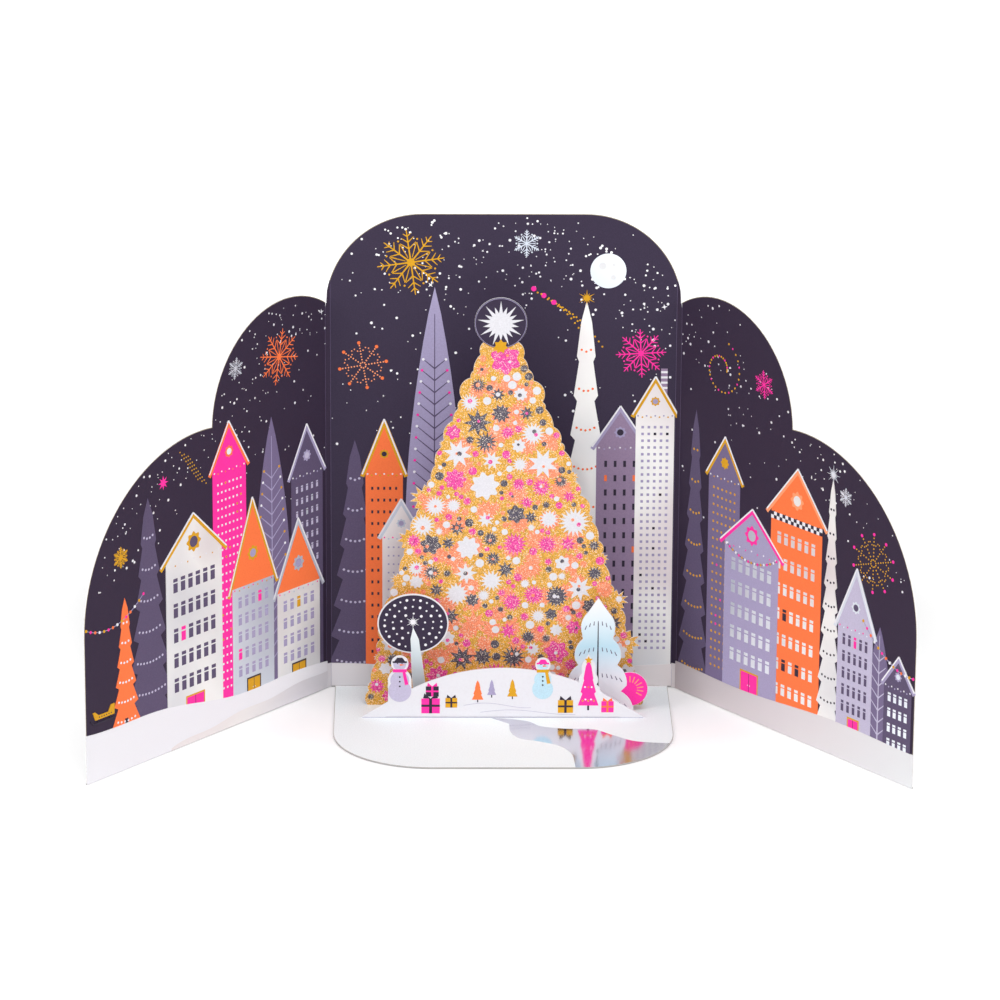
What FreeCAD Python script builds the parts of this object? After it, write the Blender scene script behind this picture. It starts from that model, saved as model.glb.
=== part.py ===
"""Standing pop-up card: a creased card with two wings, and die-cut paper layers that stand on its base.

Millimetres. The origin is the middle of the base panel's underside, on the surface that the card stands
on. X runs to the right, Y to the back and Z up. Each piece is drawn with the crease between the centre
panel and the base along X, and then moved back by half the base's depth.
"""
import FreeCAD, Part
import math
import os
import Sketcher

Vector = FreeCAD.Vector

SIZES = {
    # the creased card
    "panel_width": 127.0,
    "panel_height": 177.8,
    "corner_radius": 34.4,
    "board": 0.45,
    "crease_radius": 0.25,
    "spine_width": 1.8,
    "wing_length": 127.0,
    "left_wing_angle": 50.2,
    "right_wing_angle": 52.6,
    "upper_lobe_radius": 39.7,
    "upper_lobe_top": 151.6,
    "upper_lobe_reach": 21.0,
    "lower_lobe_radius": 60.8,
    "lower_lobe_top": 113.8,
    "base_width": 120.7,
    "base_depth": 82.6,
    "base_corner_radius": 34.4,
    # the big tree and its topper
    "layer": 0.4,
    "layer_crease": 0.3,
    "tree_setback": 20.0,
    "tree_height": 137.0,
    "tree_foot_width": 97.0,
    "tree_top_width": 10.0,
    "tree_foot_shift": 0.8,
    "tree_lean": 2.1,
    "scallop_bulge": 0.24,
    "star_reach": 0.60,
    "topper_radius": 9.3,
    "topper_centre": 143.5,
    "tree_tab_width": 60.0,
    "tree_tab_depth": 9.0,
    # the middle layer
    "middle_setback": 26.6,
    "rail_left": 36.0,
    "rail_right": 47.0,
    "rail_height": 7.4,
    "round_tree_place": 32.1,
    "round_tree_centre": 33.8,
    "round_tree_radius": 12.7,
    "round_tree_rise": 11.2,
    "trunk_foot_place": 29.0,
    "trunk_foot_width": 5.4,
    "trunk_top_width": 3.0,
    "fir_place": 34.0,
    "fir_height": 43.5,
    "fir_width": 26.0,
    "bush_place": 45.6,
    "bush_radius": 6.4,
    "bush_centre": 9.0,
    "middle_tab_width": 50.0,
    "middle_tab_depth": 4.6,
    # the snow bank
    "bank_setback": 33.3,
    "bank_width": 102.3,
    "bank_height": 19.4,
    "bank_shoulder": 36.0,
    "bank_shoulder_height": 9.6,
    "snowman_place": 36.8,
    "snowman_head": 21.0,
    "snowman_radius": 3.1,
    "snowman_body": 4.2,
    "small_snowman_place": 14.2,
    "small_snowman_head": 20.6,
    "small_snowman_radius": 2.7,
    "small_snowman_body": 3.8,
    "small_fir_place": 30.5,
    "small_fir_top": 24.6,
    "small_fir_width": 9.0,
    "bank_tab_width": 84.0,
    "bank_tab_depth": 4.6,
    # the straps that hold the layers upright
    "strap": 0.3,
    "strap_crease": 0.25,
    "tree_strap_top": 98.0,
    "tree_strap_width": 22.0,
    "tree_strap_tab": 12.0,
    "low_strap_top": 6.8,
    "low_strap_width": 14.0,
    "low_strap_tab": 4.2,
    "bank_strap_place": 20.0,
    # how far a cutting outline runs past the sheet that it trims, and past a wing's crease
    "cut_margin": 5.0,
    "crease_margin": 0.54,
}

# Shape numbers that have no length: shares of the sizes above, and counts

TREE_BELLY = 1.38
TREE_TIERS = 4.3
TREE_TIER_DEPTH = 0.018
TREE_TIER_PHASE = 0.9
BULGE_WANDER = 0.30
BULGE_WANDER_PACE = 2.4
BULGE_SIZE_RANGE = (0.40, 1.10)
BULGE_SIZE_PACE = 1.7
STAR_VALLEY = 0.62
STAR_TIPS = 4
TREE_TOP_BULGE = 0.2
LEFT_BULGES = 27
LEFT_STARS = (3, 6, 9, 12, 15, 19)
RIGHT_BULGES = 26
RIGHT_STARS = (4, 7, 10, 13, 16)
FIR_NARROWING = 0.74
FIR_TIER_RISE = 0.78
FIR_TIP_TIER = 0.35
FIR_BULGE = 0.14
FIR_TIERS = 4
FIR_NOTCH = 0.34
SMALL_FIR_TIERS = 3
SMALL_FIR_NOTCH = 0.36
SNOWMAN_NECK = 0.86

doc = FreeCAD.newDocument("pop_up_card")
sheet = doc.addObject("Spreadsheet::Sheet", "sheet")
for row, (alias, size) in enumerate(SIZES.items(), start=1):
    sheet.set("A%d" % row, alias)
    sheet.set("B%d" % row, str(size))
    sheet.setAlias("B%d" % row, alias)
reckoner = doc.addObject("App::FeaturePython", "reckoner")
reckoner.addProperty("App::PropertyFloat", "number")
doc.recompute()


def size(alias):
    """Return a driving dimension as the sheet holds it."""
    return float(sheet.get(alias))


def bind(feature, prop, expression):
    """Bind a property to an expression in which each size is written as $alias."""
    feature.setExpression(prop, expression.replace("$", "sheet."))


# Sketches

def value_of(expression):
    """Work out a $alias expression with the sheet's numbers, in degrees as the sheet does."""
    bind(reckoner, "number", expression)
    reckoner.recompute()
    return reckoner.number


def plane_of(body, role):
    """Return one of the body's own origin planes."""
    return next(plane for plane in body.Origin.OriginFeatures if plane.Role == role)


def sketch_in(body, name, role):
    """Make a sketch on one of the body's own origin planes."""
    sketch = body.newObject("Sketcher::SketchObject", name)
    sketch.AttachmentSupport = [(plane_of(body, role), "")]
    sketch.MapMode = "FlatFace"
    return sketch


def constrain(sketch, expression, *arguments):
    """Add a dimension to the sketch and bind it to an expression."""
    number = value_of(expression)
    if arguments[0] == "Angle":
        number = math.radians(number)
    index = sketch.addConstraint(Sketcher.Constraint(*arguments, number))
    bind(sketch, "Constraints[%d]" % index, expression)


def folded_strip(sketch, start, runs, radius, thickness):
    """Draw the section of a folded sheet: straight runs, each bend turning clockwise.

    start is the pair of expressions for the inner face's first point, and each run is a heading and a
    length between folds. The inner faces would meet at the folds; the bends round them off.
    """
    inner_radius = value_of(radius)
    depth = value_of(thickness)
    headings = [value_of(heading) for heading, length in runs]
    turns = [headings[i] - headings[i + 1] for i in range(len(runs) - 1)]
    point = Vector(value_of(start[0]), value_of(start[1]), 0)
    lines = {"inner": [], "outer": []}
    arcs = {"inner": [], "outer": []}
    straights = []
    for i, (heading, length) in enumerate(runs):
        straight = "(%s)" % length
        for bend in (i - 1, i):
            if 0 <= bend < len(turns):
                straight += " - (%s) * tan(((%s) - (%s)) / 2)" % (
                    radius, runs[bend][0], runs[bend + 1][0])
        straights.append(straight)
        angle = math.radians(headings[i])
        along = Vector(math.cos(angle), math.sin(angle), 0)
        outward = Vector(-along.y, along.x, 0)
        finish = point + along * value_of(straight)
        for side, offset in (("inner", 0.0), ("outer", depth)):
            line = Part.LineSegment(point + outward * offset, finish + outward * offset)
            lines[side].append(sketch.addGeometry(line, False))
        if i < len(turns):
            centre = finish - outward * inner_radius
            last = angle + math.pi / 2
            first = last - math.radians(turns[i])
            for side, offset in (("inner", 0.0), ("outer", depth)):
                circle = Part.Circle(centre, Vector(0, 0, 1), inner_radius + offset)
                arcs[side].append(sketch.addGeometry(Part.ArcOfCircle(circle, first, last), False))
            point = centre + Vector(math.cos(first), math.sin(first), 0) * inner_radius

    for side, arc_radius in (("inner", radius), ("outer", "(%s) + (%s)" % (radius, thickness))):
        for i, arc in enumerate(arcs[side]):
            sketch.addConstraint(Sketcher.Constraint("Tangent", lines[side][i], 2, arc, 2))
            sketch.addConstraint(Sketcher.Constraint("Tangent", arc, 1, lines[side][i + 1], 1))
            constrain(sketch, arc_radius, "Radius", arc)
    for inner, outer in zip(arcs["inner"], arcs["outer"]):
        sketch.addConstraint(Sketcher.Constraint("Coincident", inner, 3, outer, 3))
    for i, line in enumerate(lines["inner"]):
        constrain(sketch, straights[i], "Distance", line)
        if headings[i] % 180 == 0:
            sketch.addConstraint(Sketcher.Constraint("Horizontal", line))
        elif headings[i] % 90 == 0:
            sketch.addConstraint(Sketcher.Constraint("Vertical", line))
        else:
            constrain(sketch, runs[i][0], "Angle", line)
    for end, last_point in ((0, 1), (-1, 2)):
        inner = lines["inner"][end]
        outer = lines["outer"][end]
        here = sketch.getPoint(inner, last_point)
        there = sketch.getPoint(outer, last_point)
        cap = sketch.addGeometry(Part.LineSegment(here, there), False)
        sketch.addConstraint(Sketcher.Constraint("Coincident", cap, 1, inner, last_point))
        sketch.addConstraint(Sketcher.Constraint("Coincident", cap, 2, outer, last_point))
        sketch.addConstraint(Sketcher.Constraint("Perpendicular", cap, inner))
        sketch.addConstraint(Sketcher.Constraint("Parallel", inner, outer))
    place_point(sketch, start, lines["inner"][0], 1)


def place_point(sketch, place, geometry, position):
    """Fix a point of the sketch at a pair of expressions."""
    for axis, kind, expression in ((0, "DistanceX", place[0]), (1, "DistanceY", place[1])):
        if abs(value_of(expression)) > 1e-9:
            constrain(sketch, expression, kind, -1, 1, geometry, position)
        else:
            sketch.addConstraint(Sketcher.Constraint("PointOnObject", geometry, position, -2 + axis))


# The creased card

def wing_cut(body, name, side, crease_x, crease_y, angle):
    """Trim one wing to its two round lobes, with a pocket in the wing's own plane."""
    sketch = sketch_in(body, name + "_outline", "XZ_Plane")
    turn = "%d * (%s)" % (-side, angle)
    sketch.AttachmentOffset = FreeCAD.Placement(
        Vector(side * value_of(crease_x), 0, value_of(crease_y)),
        FreeCAD.Rotation(Vector(0, 1, 0), value_of(turn)))
    bind(sketch, "AttachmentOffset.Base.x", "%d * (%s)" % (side, crease_x))
    bind(sketch, "AttachmentOffset.Base.z", crease_y)

    upper = [Vector(side * size("upper_lobe_reach"), size("upper_lobe_top") - size("upper_lobe_radius"), 0),
             size("upper_lobe_radius")]
    lower = [Vector(side * (size("wing_length") - size("lower_lobe_radius")),
                    size("lower_lobe_top") - size("lower_lobe_radius"), 0),
             size("lower_lobe_radius")]
    spread = lower[0] - upper[0]
    distance = spread.Length
    along = (distance ** 2 + upper[1] ** 2 - lower[1] ** 2) / (2 * distance)
    across = math.sqrt(upper[1] ** 2 - along ** 2)
    unit = spread.normalize()
    cusp = upper[0] + unit * along + Vector(-unit.y, unit.x, 0) * (across * side)
    inset = -side * size("crease_margin")
    rise = math.sqrt(upper[1] ** 2 - (inset - upper[0].x) ** 2)
    start = Vector(inset, upper[0].y + rise, 0)
    finish = Vector(side * size("wing_length"), lower[0].y, 0)
    roof = size("panel_height") + size("cut_margin")
    edge = side * (size("wing_length") + size("cut_margin"))

    def arc(circle, first, last):
        ends = [math.atan2(p.y - circle[0].y, p.x - circle[0].x) for p in (first, last)]
        low, high = min(ends), max(ends)
        return Part.ArcOfCircle(Part.Circle(circle[0], Vector(0, 0, 1), circle[1]), low, high)

    upper_arc = sketch.addGeometry(arc(upper, start, cusp), False)
    lower_arc = sketch.addGeometry(arc(lower, cusp, finish), False)
    corners = [finish, Vector(edge, finish.y, 0), Vector(edge, roof, 0), Vector(inset, roof, 0), start]
    lines = [sketch.addGeometry(Part.LineSegment(a, b), False) for a, b in zip(corners, corners[1:])]
    inner_end, cusp_end = (2, 1) if side > 0 else (1, 2)
    sketch.addConstraint(Sketcher.Constraint("Coincident", upper_arc, cusp_end, lower_arc, inner_end))
    sketch.addConstraint(Sketcher.Constraint("Coincident", lower_arc, cusp_end, lines[0], 1))
    for first, second in zip(lines, lines[1:]):
        sketch.addConstraint(Sketcher.Constraint("Coincident", first, 2, second, 1))
    sketch.addConstraint(Sketcher.Constraint("Coincident", lines[3], 2, upper_arc, inner_end))
    for line in (lines[0], lines[2]):
        sketch.addConstraint(Sketcher.Constraint("Horizontal", line))
    for line in (lines[1], lines[3]):
        sketch.addConstraint(Sketcher.Constraint("Vertical", line))
    sketch.addConstraint(Sketcher.Constraint("Horizontal", lower_arc, 3, lower_arc, cusp_end))
    constrain(sketch, "$upper_lobe_radius", "Radius", upper_arc)
    constrain(sketch, "$lower_lobe_radius", "Radius", lower_arc)
    sign = "%d * " % side
    place_point(sketch, (sign + "$upper_lobe_reach", "$upper_lobe_top - $upper_lobe_radius"), upper_arc, 3)
    place_point(sketch, (sign + "($wing_length - $lower_lobe_radius)",
                         "$lower_lobe_top - $lower_lobe_radius"), lower_arc, 3)
    place_point(sketch, (sign + "-$crease_margin", "$panel_height + $cut_margin"), lines[2], 2)
    constrain(sketch, "$cut_margin", "Distance", lines[0])

    pocket = body.newObject("PartDesign::Pocket", name + "_trim")
    pocket.Profile = sketch
    pocket.Midplane = True
    bind(pocket, "Length", "4 * $board")
    return pocket


def crease_places(angle):
    """Return the expressions for where a wing's outer crease lies, in plan."""
    inner = "($panel_width / 2 - $spine_width)"
    across = "%s + $spine_width * cos(%s / 2)" % (inner, angle)
    forward = "$spine_width * sin(%s / 2)" % angle
    return across, forward


def corner_cut(body):
    """Round the two top corners of the centre panel, spines included."""
    sketch = sketch_in(body, "corner_outline", "XZ_Plane")
    for side, angle in ((-1, "$left_wing_angle"), (1, "$right_wing_angle")):
        crease, forward = crease_places(angle)
        radius = size("corner_radius")
        edge = side * value_of(crease)
        centre = Vector(edge - side * radius, size("panel_height") - radius, 0)
        roof = size("panel_height") + size("cut_margin")
        first, last = (0, math.pi / 2) if side > 0 else (math.pi / 2, math.pi)
        arc = sketch.addGeometry(
            Part.ArcOfCircle(Part.Circle(centre, Vector(0, 0, 1), radius), first, last), False)
        corners = [Vector(edge, centre.y, 0), Vector(edge, roof, 0), Vector(centre.x, roof, 0),
                   Vector(centre.x, size("panel_height"), 0)]
        lines = [sketch.addGeometry(Part.LineSegment(a, b), False) for a, b in zip(corners, corners[1:])]
        low_end, top_end = (1, 2) if side > 0 else (2, 1)
        sketch.addConstraint(Sketcher.Constraint("Coincident", arc, low_end, lines[0], 1))
        sketch.addConstraint(Sketcher.Constraint("Coincident", lines[0], 2, lines[1], 1))
        sketch.addConstraint(Sketcher.Constraint("Coincident", lines[1], 2, lines[2], 1))
        sketch.addConstraint(Sketcher.Constraint("Coincident", lines[2], 2, arc, top_end))
        sketch.addConstraint(Sketcher.Constraint("Vertical", lines[0]))
        sketch.addConstraint(Sketcher.Constraint("Horizontal", lines[1]))
        sketch.addConstraint(Sketcher.Constraint("Vertical", lines[2]))
        sketch.addConstraint(Sketcher.Constraint("Vertical", arc, 3, arc, top_end))
        sketch.addConstraint(Sketcher.Constraint("Horizontal", arc, 3, arc, low_end))
        constrain(sketch, "$corner_radius", "Radius", arc)
        place_point(sketch, ("%d * (%s - $corner_radius)" % (side, crease),
                             "$panel_height - $corner_radius"), arc, 3)
        constrain(sketch, "$cut_margin", "Distance", lines[2])
    pocket = body.newObject("PartDesign::Pocket", "corner_trim")
    pocket.Profile = sketch
    pocket.Midplane = True
    bind(pocket, "Length", "2 * $cut_margin")
    return pocket


def base_cut(body):
    """Round the two front corners of the base panel."""
    sketch = sketch_in(body, "base_outline", "XY_Plane")
    for side in (-1, 1):
        radius = size("base_corner_radius")
        edge = side * size("base_width") / 2
        centre = Vector(edge - side * radius, radius - size("base_depth"), 0)
        front = -size("base_depth") - size("cut_margin")
        outside = edge + side * size("cut_margin")
        first, last = (-math.pi / 2, 0) if side > 0 else (math.pi, 1.5 * math.pi)
        arc = sketch.addGeometry(
            Part.ArcOfCircle(Part.Circle(centre, Vector(0, 0, 1), radius), first, last), False)
        corners = [Vector(edge, centre.y, 0), Vector(outside, centre.y, 0), Vector(outside, front, 0),
                   Vector(centre.x, front, 0), Vector(centre.x, -size("base_depth"), 0)]
        lines = [sketch.addGeometry(Part.LineSegment(a, b), False) for a, b in zip(corners, corners[1:])]
        side_end, front_end = (2, 1) if side > 0 else (1, 2)
        sketch.addConstraint(Sketcher.Constraint("Coincident", arc, side_end, lines[0], 1))
        for one, other in zip(lines, lines[1:]):
            sketch.addConstraint(Sketcher.Constraint("Coincident", one, 2, other, 1))
        sketch.addConstraint(Sketcher.Constraint("Coincident", lines[3], 2, arc, front_end))
        for line, kind in zip(lines, ("Horizontal", "Vertical", "Horizontal", "Vertical")):
            sketch.addConstraint(Sketcher.Constraint(kind, line))
        sketch.addConstraint(Sketcher.Constraint("Vertical", arc, 3, arc, front_end))
        sketch.addConstraint(Sketcher.Constraint("Horizontal", arc, 3, arc, side_end))
        constrain(sketch, "$base_corner_radius", "Radius", arc)
        place_point(sketch, ("%d * ($base_width / 2 - $base_corner_radius)" % side,
                             "$base_corner_radius - $base_depth"), arc, 3)
        constrain(sketch, "$cut_margin", "Distance", lines[0])
        constrain(sketch, "$cut_margin", "Distance", lines[3])
    pocket = body.newObject("PartDesign::Pocket", "base_trim")
    pocket.Profile = sketch
    pocket.Midplane = True
    bind(pocket, "Length", "4 * $board")
    return pocket


def folded_card():
    """One creased sheet: centre panel, spines, wings and base."""
    body = doc.addObject("PartDesign::Body", "folded_card")
    body.Label = "folded_card"

    plan = sketch_in(body, "fold_plan", "XY_Plane")
    left_x, left_y = crease_places("$left_wing_angle")
    start = ("-(%s) - $wing_length * cos($left_wing_angle)" % left_x,
             "-(%s) - $wing_length * sin($left_wing_angle)" % left_y)
    folded_strip(plan, start, [
        ("$left_wing_angle", "$wing_length"),
        ("$left_wing_angle / 2", "$spine_width"),
        ("0", "$panel_width - 2 * $spine_width"),
        ("-$right_wing_angle / 2", "$spine_width"),
        ("-$right_wing_angle", "$wing_length"),
    ], "$crease_radius", "$board")
    walls = body.newObject("PartDesign::Pad", "walls")
    walls.Profile = plan
    bind(walls, "Length", "$panel_height")

    corner_cut(body)
    wing_cut(body, "left_wing", -1, *crease_places("$left_wing_angle"), "$left_wing_angle")
    wing_cut(body, "right_wing", 1, *crease_places("$right_wing_angle"), "$right_wing_angle")

    foot = sketch_in(body, "crease_gap", "YZ_Plane")
    rectangle(foot, ("-$cut_margin", "-$cut_margin"), ("$cut_margin", "$crease_radius + $board"))
    gap = body.newObject("PartDesign::Pocket", "base_crease_gap")
    gap.Profile = foot
    gap.Midplane = True
    bind(gap, "Length", "$base_width")

    section = sketch_in(body, "base_section", "YZ_Plane")
    folded_strip(section, ("0", "2 * ($crease_radius + $board)"), [
        ("-90", "2 * ($crease_radius + $board) - $board"),
        ("-180", "$base_depth"),
    ], "$crease_radius", "$board")
    base = body.newObject("PartDesign::Pad", "base_panel")
    base.Profile = section
    base.Midplane = True
    bind(base, "Length", "$base_width")
    base_cut(body)
    bind(body, "Placement.Base.y", "$base_depth / 2")
    return body


def rectangle(sketch, low, high):
    """Draw a rectangle between two corners given as expressions."""
    left, bottom = value_of(low[0]), value_of(low[1])
    right, top = value_of(high[0]), value_of(high[1])
    corners = [Vector(left, bottom, 0), Vector(right, bottom, 0), Vector(right, top, 0), Vector(left, top, 0)]
    lines = [sketch.addGeometry(Part.LineSegment(a, b), False)
             for a, b in zip(corners, corners[1:] + corners[:1])]
    for one, other in zip(lines, lines[1:] + lines[:1]):
        sketch.addConstraint(Sketcher.Constraint("Coincident", one, 2, other, 1))
    for line, kind in zip(lines, ("Horizontal", "Vertical", "Horizontal", "Vertical")):
        sketch.addConstraint(Sketcher.Constraint(kind, line))
    place_point(sketch, low, lines[0], 1)
    place_point(sketch, high, lines[2], 1)


# The straps

def strap(name, place, front, rear, top, tab, width):
    """A paper strap folded into a flat-topped arch, one tab glued to the sheet at each end."""
    body = doc.addObject("PartDesign::Body", name)
    body.Label = name
    section = sketch_in(body, name + "_section", "YZ_Plane")
    inside = "($strap)"
    folded_strip(section, ("%s + %s" % (front, inside), "%s - %s" % (top, tab)), [
        ("90", "%s - %s" % (tab, inside)),
        ("0", "(%s) - (%s) - 2 * %s" % (rear, front, inside)),
        ("-90", "%s - %s" % (tab, inside)),
    ], "$strap_crease", "$strap")
    pad = body.newObject("PartDesign::Pad", name + "_width")
    pad.Profile = section
    pad.Midplane = True
    bind(pad, "Length", width)
    bind(body, "Placement.Base.x", place)
    bind(body, "Placement.Base.y", "$base_depth / 2")
    return body


# The standing layers

def arc_edge(first, last, bulge):
    """An arc from one point to the next, bulging to the left of the way by a share of its chord."""
    chord = last - first
    middle = (first + last) * 0.5 + Vector(-chord.z, 0, chord.x) * bulge
    return Part.Arc(first, middle, last).toShape()


def polygon_edges(points):
    """Straight edges through the points."""
    return [Part.makeLine(a, b) for a, b in zip(points, points[1:])]


def face_of(edges):
    """The face inside a closed chain of edges."""
    return Part.Face(Part.Wire(Part.__sortEdges__(edges)))


def standing_layer(name, faces, setback, tab_width, tab_depth):
    """A die-cut sheet in an upright plane, with a tab at its foot folded back and glued to the base."""
    outline = doc.addObject("Part::Feature", name + "_outline")
    outline.Shape = faces[0].fuse(faces[1:]).removeSplitter() if len(faces) > 1 else faces[0]
    outline.Placement.Base = Vector(0, -size(setback), 0)
    bind(outline, "Placement.Base.y", "-$" + setback)

    plate = doc.addObject("Part::Extrusion", name + "_plate")
    plate.Base = outline
    plate.DirMode = "Custom"
    plate.Dir = Vector(0, 1, 0)
    plate.Solid = True
    bind(plate, "LengthFwd", "$layer")

    notch = doc.addObject("Part::Box", name + "_notch")
    bind(notch, "Length", "$" + tab_width)
    bind(notch, "Width", "4 * $layer")
    bind(notch, "Height", "$board + $layer + $layer_crease")
    bind(notch, "Placement.Base.x", "-$%s / 2" % tab_width)
    bind(notch, "Placement.Base.y", "-$%s - $layer" % setback)
    cut = doc.addObject("Part::Cut", name + "_cut")
    cut.Base = plate
    cut.Tool = notch

    section = doc.addObject("Sketcher::SketchObject", name + "_tab_section")
    section.Placement = FreeCAD.Placement(Vector(), FreeCAD.Rotation(Vector(1, 1, 1), 120))
    folded_strip(section, ("-$%s + $%s" % (setback, tab_depth), "$board + $layer"), [
        ("180", "$%s - $layer" % tab_depth),
        ("90", "2 * ($layer_crease + $layer)"),
    ], "$layer_crease", "$layer")
    tab = doc.addObject("Part::Extrusion", name + "_tab")
    tab.Base = section
    tab.DirMode = "Custom"
    tab.Dir = Vector(1, 0, 0)
    tab.Solid = True
    tab.Symmetric = True
    bind(tab, "LengthFwd", "$" + tab_width)

    layer = doc.addObject("Part::MultiFuse", name)
    layer.Label = name
    layer.Shapes = [cut, tab]
    layer.Refine = True
    bind(layer, "Placement.Base.y", "$base_depth / 2")
    return layer


def tree_half_width(height):
    """Half the tree's width, a full-bellied cone with soft tiers."""
    rise = height / size("tree_height")
    foot, top = size("tree_foot_width") / 2, size("tree_top_width") / 2
    tiers = TREE_TIER_DEPTH * foot * math.sin(2 * math.pi * TREE_TIERS * rise + TREE_TIER_PHASE)
    return top + (foot - top) * (1 - rise ** TREE_BELLY) + tiers * (1 - rise)


def tree_middle(height):
    """Where the tree's middle line runs: it leans a little to the left on its way up."""
    return size("tree_foot_shift") - size("tree_lean") * height / size("topper_centre")


def star_edges(low, high, side, points):
    """The half star that stands out of a stretch of the tree's edge."""
    middle = (low + high) * 0.5
    radius = (high - low).Length / 2
    along = (high - low).normalize()
    outward = Vector(side * along.z, 0, -side * along.x)
    corners = [low]
    for k in range(1, 2 * points):
        angle = math.pi * k / (2 * points)
        reach = radius * (2 * size("star_reach") if k % 2 else STAR_VALLEY)
        corners.append(middle - along * (reach * math.cos(angle)) + outward * (reach * math.sin(angle)))
    return polygon_edges(corners + [high])


def tree_side(side, bulges, tips, phase):
    """One scalloped edge of the tree from foot to top, with a star tip in place of every few bulges."""
    floor = size("board")
    heights = []
    for i in range(bulges + 1):
        wander = BULGE_WANDER * math.sin(BULGE_WANDER_PACE * i + phase) if 0 < i < bulges else 0.0
        heights.append(floor + (size("tree_height") - floor) * (i + wander) / bulges)
    nodes = [Vector(tree_middle(height) + side * tree_half_width(height), 0, height) for height in heights]
    edges = []
    for i, (low, high) in enumerate(zip(nodes, nodes[1:])):
        if i in tips:
            edges += star_edges(low, high, side, STAR_TIPS + i % 2)
        else:
            least, most = BULGE_SIZE_RANGE
            share = (least + most + (most - least) * math.sin(BULGE_SIZE_PACE * i + phase)) / 2
            edges.append(arc_edge(low, high, -side * size("scallop_bulge") * share))
    return nodes, edges


def tree_faces():
    """The tree's outline and the round topper behind its tip."""
    left_nodes, left = tree_side(-1, LEFT_BULGES, LEFT_STARS, 0.4)
    right_nodes, right = tree_side(1, RIGHT_BULGES, RIGHT_STARS, 2.1)
    foot = Part.makeLine(left_nodes[0], right_nodes[0])
    top = arc_edge(left_nodes[-1], right_nodes[-1], TREE_TOP_BULGE)
    centre = Vector(tree_middle(size("topper_centre")), 0, size("topper_centre"))
    topper = Part.makeCircle(size("topper_radius"), centre, Vector(0, 1, 0))
    return [face_of(left + right + [foot, top]), Part.Face(Part.Wire(topper))]


def fir_edges(place, foot, top, width, tiers, notch):
    """The outline of a fir with round-edged tiers, closed along its foot."""
    tier = (top - foot) / (tiers + FIR_TIP_TIER)
    side_points = []
    for i in range(tiers):
        low = foot + tier * i
        reach = width / 2 * (1 - FIR_NARROWING * i / tiers)
        side_points.append(Vector(reach, 0, low))
        side_points.append(Vector(reach * (1 - notch), 0, low + tier * FIR_TIER_RISE))
    right = [Vector(place + p.x, 0, p.z) for p in side_points]
    left = [Vector(place - p.x, 0, p.z) for p in side_points]
    tip = Vector(place, 0, top)
    edges = [Part.makeLine(left[0], right[0])]
    for points, bulge in ((right + [tip], -FIR_BULGE), (left + [tip], FIR_BULGE)):
        for i, (a, b) in enumerate(zip(points, points[1:])):
            edges.append(arc_edge(a, b, bulge) if i % 2 == 0 else Part.makeLine(a, b))
    return edges


def middle_faces():
    """A low rail that carries a round-headed tree on the left, a fir and a bush on the right."""
    floor = size("board")
    rail_top = size("rail_height")
    left, right = -size("rail_left"), size("rail_right")
    rail = polygon_edges([Vector(left, 0, floor), Vector(right, 0, floor), Vector(right, 0, rail_top),
                          Vector(left, 0, rail_top), Vector(left, 0, floor)])
    root = -size("trunk_foot_place")
    foot, tip = size("trunk_foot_width") / 2, size("trunk_top_width") / 2
    crown = Vector(-size("round_tree_place"), 0, size("round_tree_centre"))
    trunk = polygon_edges([Vector(root - foot, 0, floor), Vector(root + foot, 0, floor),
                           crown + Vector(tip, 0, 0), crown - Vector(tip, 0, 0),
                           Vector(root - foot, 0, floor)])
    head = Part.Ellipse(crown + Vector(size("round_tree_radius"), 0, 0),
                        crown + Vector(0, 0, size("round_tree_rise")), crown).toShape()
    fir = fir_edges(size("fir_place"), floor, size("fir_height"), size("fir_width"), FIR_TIERS, FIR_NOTCH)
    bush = Part.makeCircle(size("bush_radius"), Vector(size("bush_place"), 0, size("bush_centre")),
                           Vector(0, 1, 0))
    return [face_of(rail), face_of(trunk), Part.Face(Part.Wire(head)), face_of(fir),
            Part.Face(Part.Wire(bush))]


def bank_faces():
    """A low hill with a snowman at each side and the tip of a small fir standing up from its edge."""
    floor = size("board")
    half = size("bank_width") / 2
    shoulder, rise = size("bank_shoulder"), size("bank_shoulder_height")
    hill = [Part.Arc(Vector(-shoulder, 0, rise), Vector(0, 0, size("bank_height")),
                     Vector(shoulder, 0, rise)).toShape()]
    hill += polygon_edges([Vector(-shoulder, 0, rise), Vector(-half, 0, floor), Vector(half, 0, floor),
                           Vector(shoulder, 0, rise)])
    faces = [face_of(hill)]
    for place, name in ((-size("snowman_place"), "snowman"), (size("small_snowman_place"), "small_snowman")):
        head, radius, body = size(name + "_head"), size(name + "_radius"), size(name + "_body")
        middle = head - SNOWMAN_NECK * (radius + body)
        for height, reach in ((head, radius), (middle, body)):
            circle = Part.makeCircle(reach, Vector(place, 0, height), Vector(0, 1, 0))
            faces.append(Part.Face(Part.Wire(circle)))
        faces.append(face_of(polygon_edges([
            Vector(place - body, 0, floor), Vector(place + body, 0, floor), Vector(place + body, 0, middle),
            Vector(place - body, 0, middle), Vector(place - body, 0, floor)])))
    faces.append(face_of(fir_edges(size("small_fir_place"), rise, size("small_fir_top"),
                                   size("small_fir_width"), SMALL_FIR_TIERS, SMALL_FIR_NOTCH)))
    return faces


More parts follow.
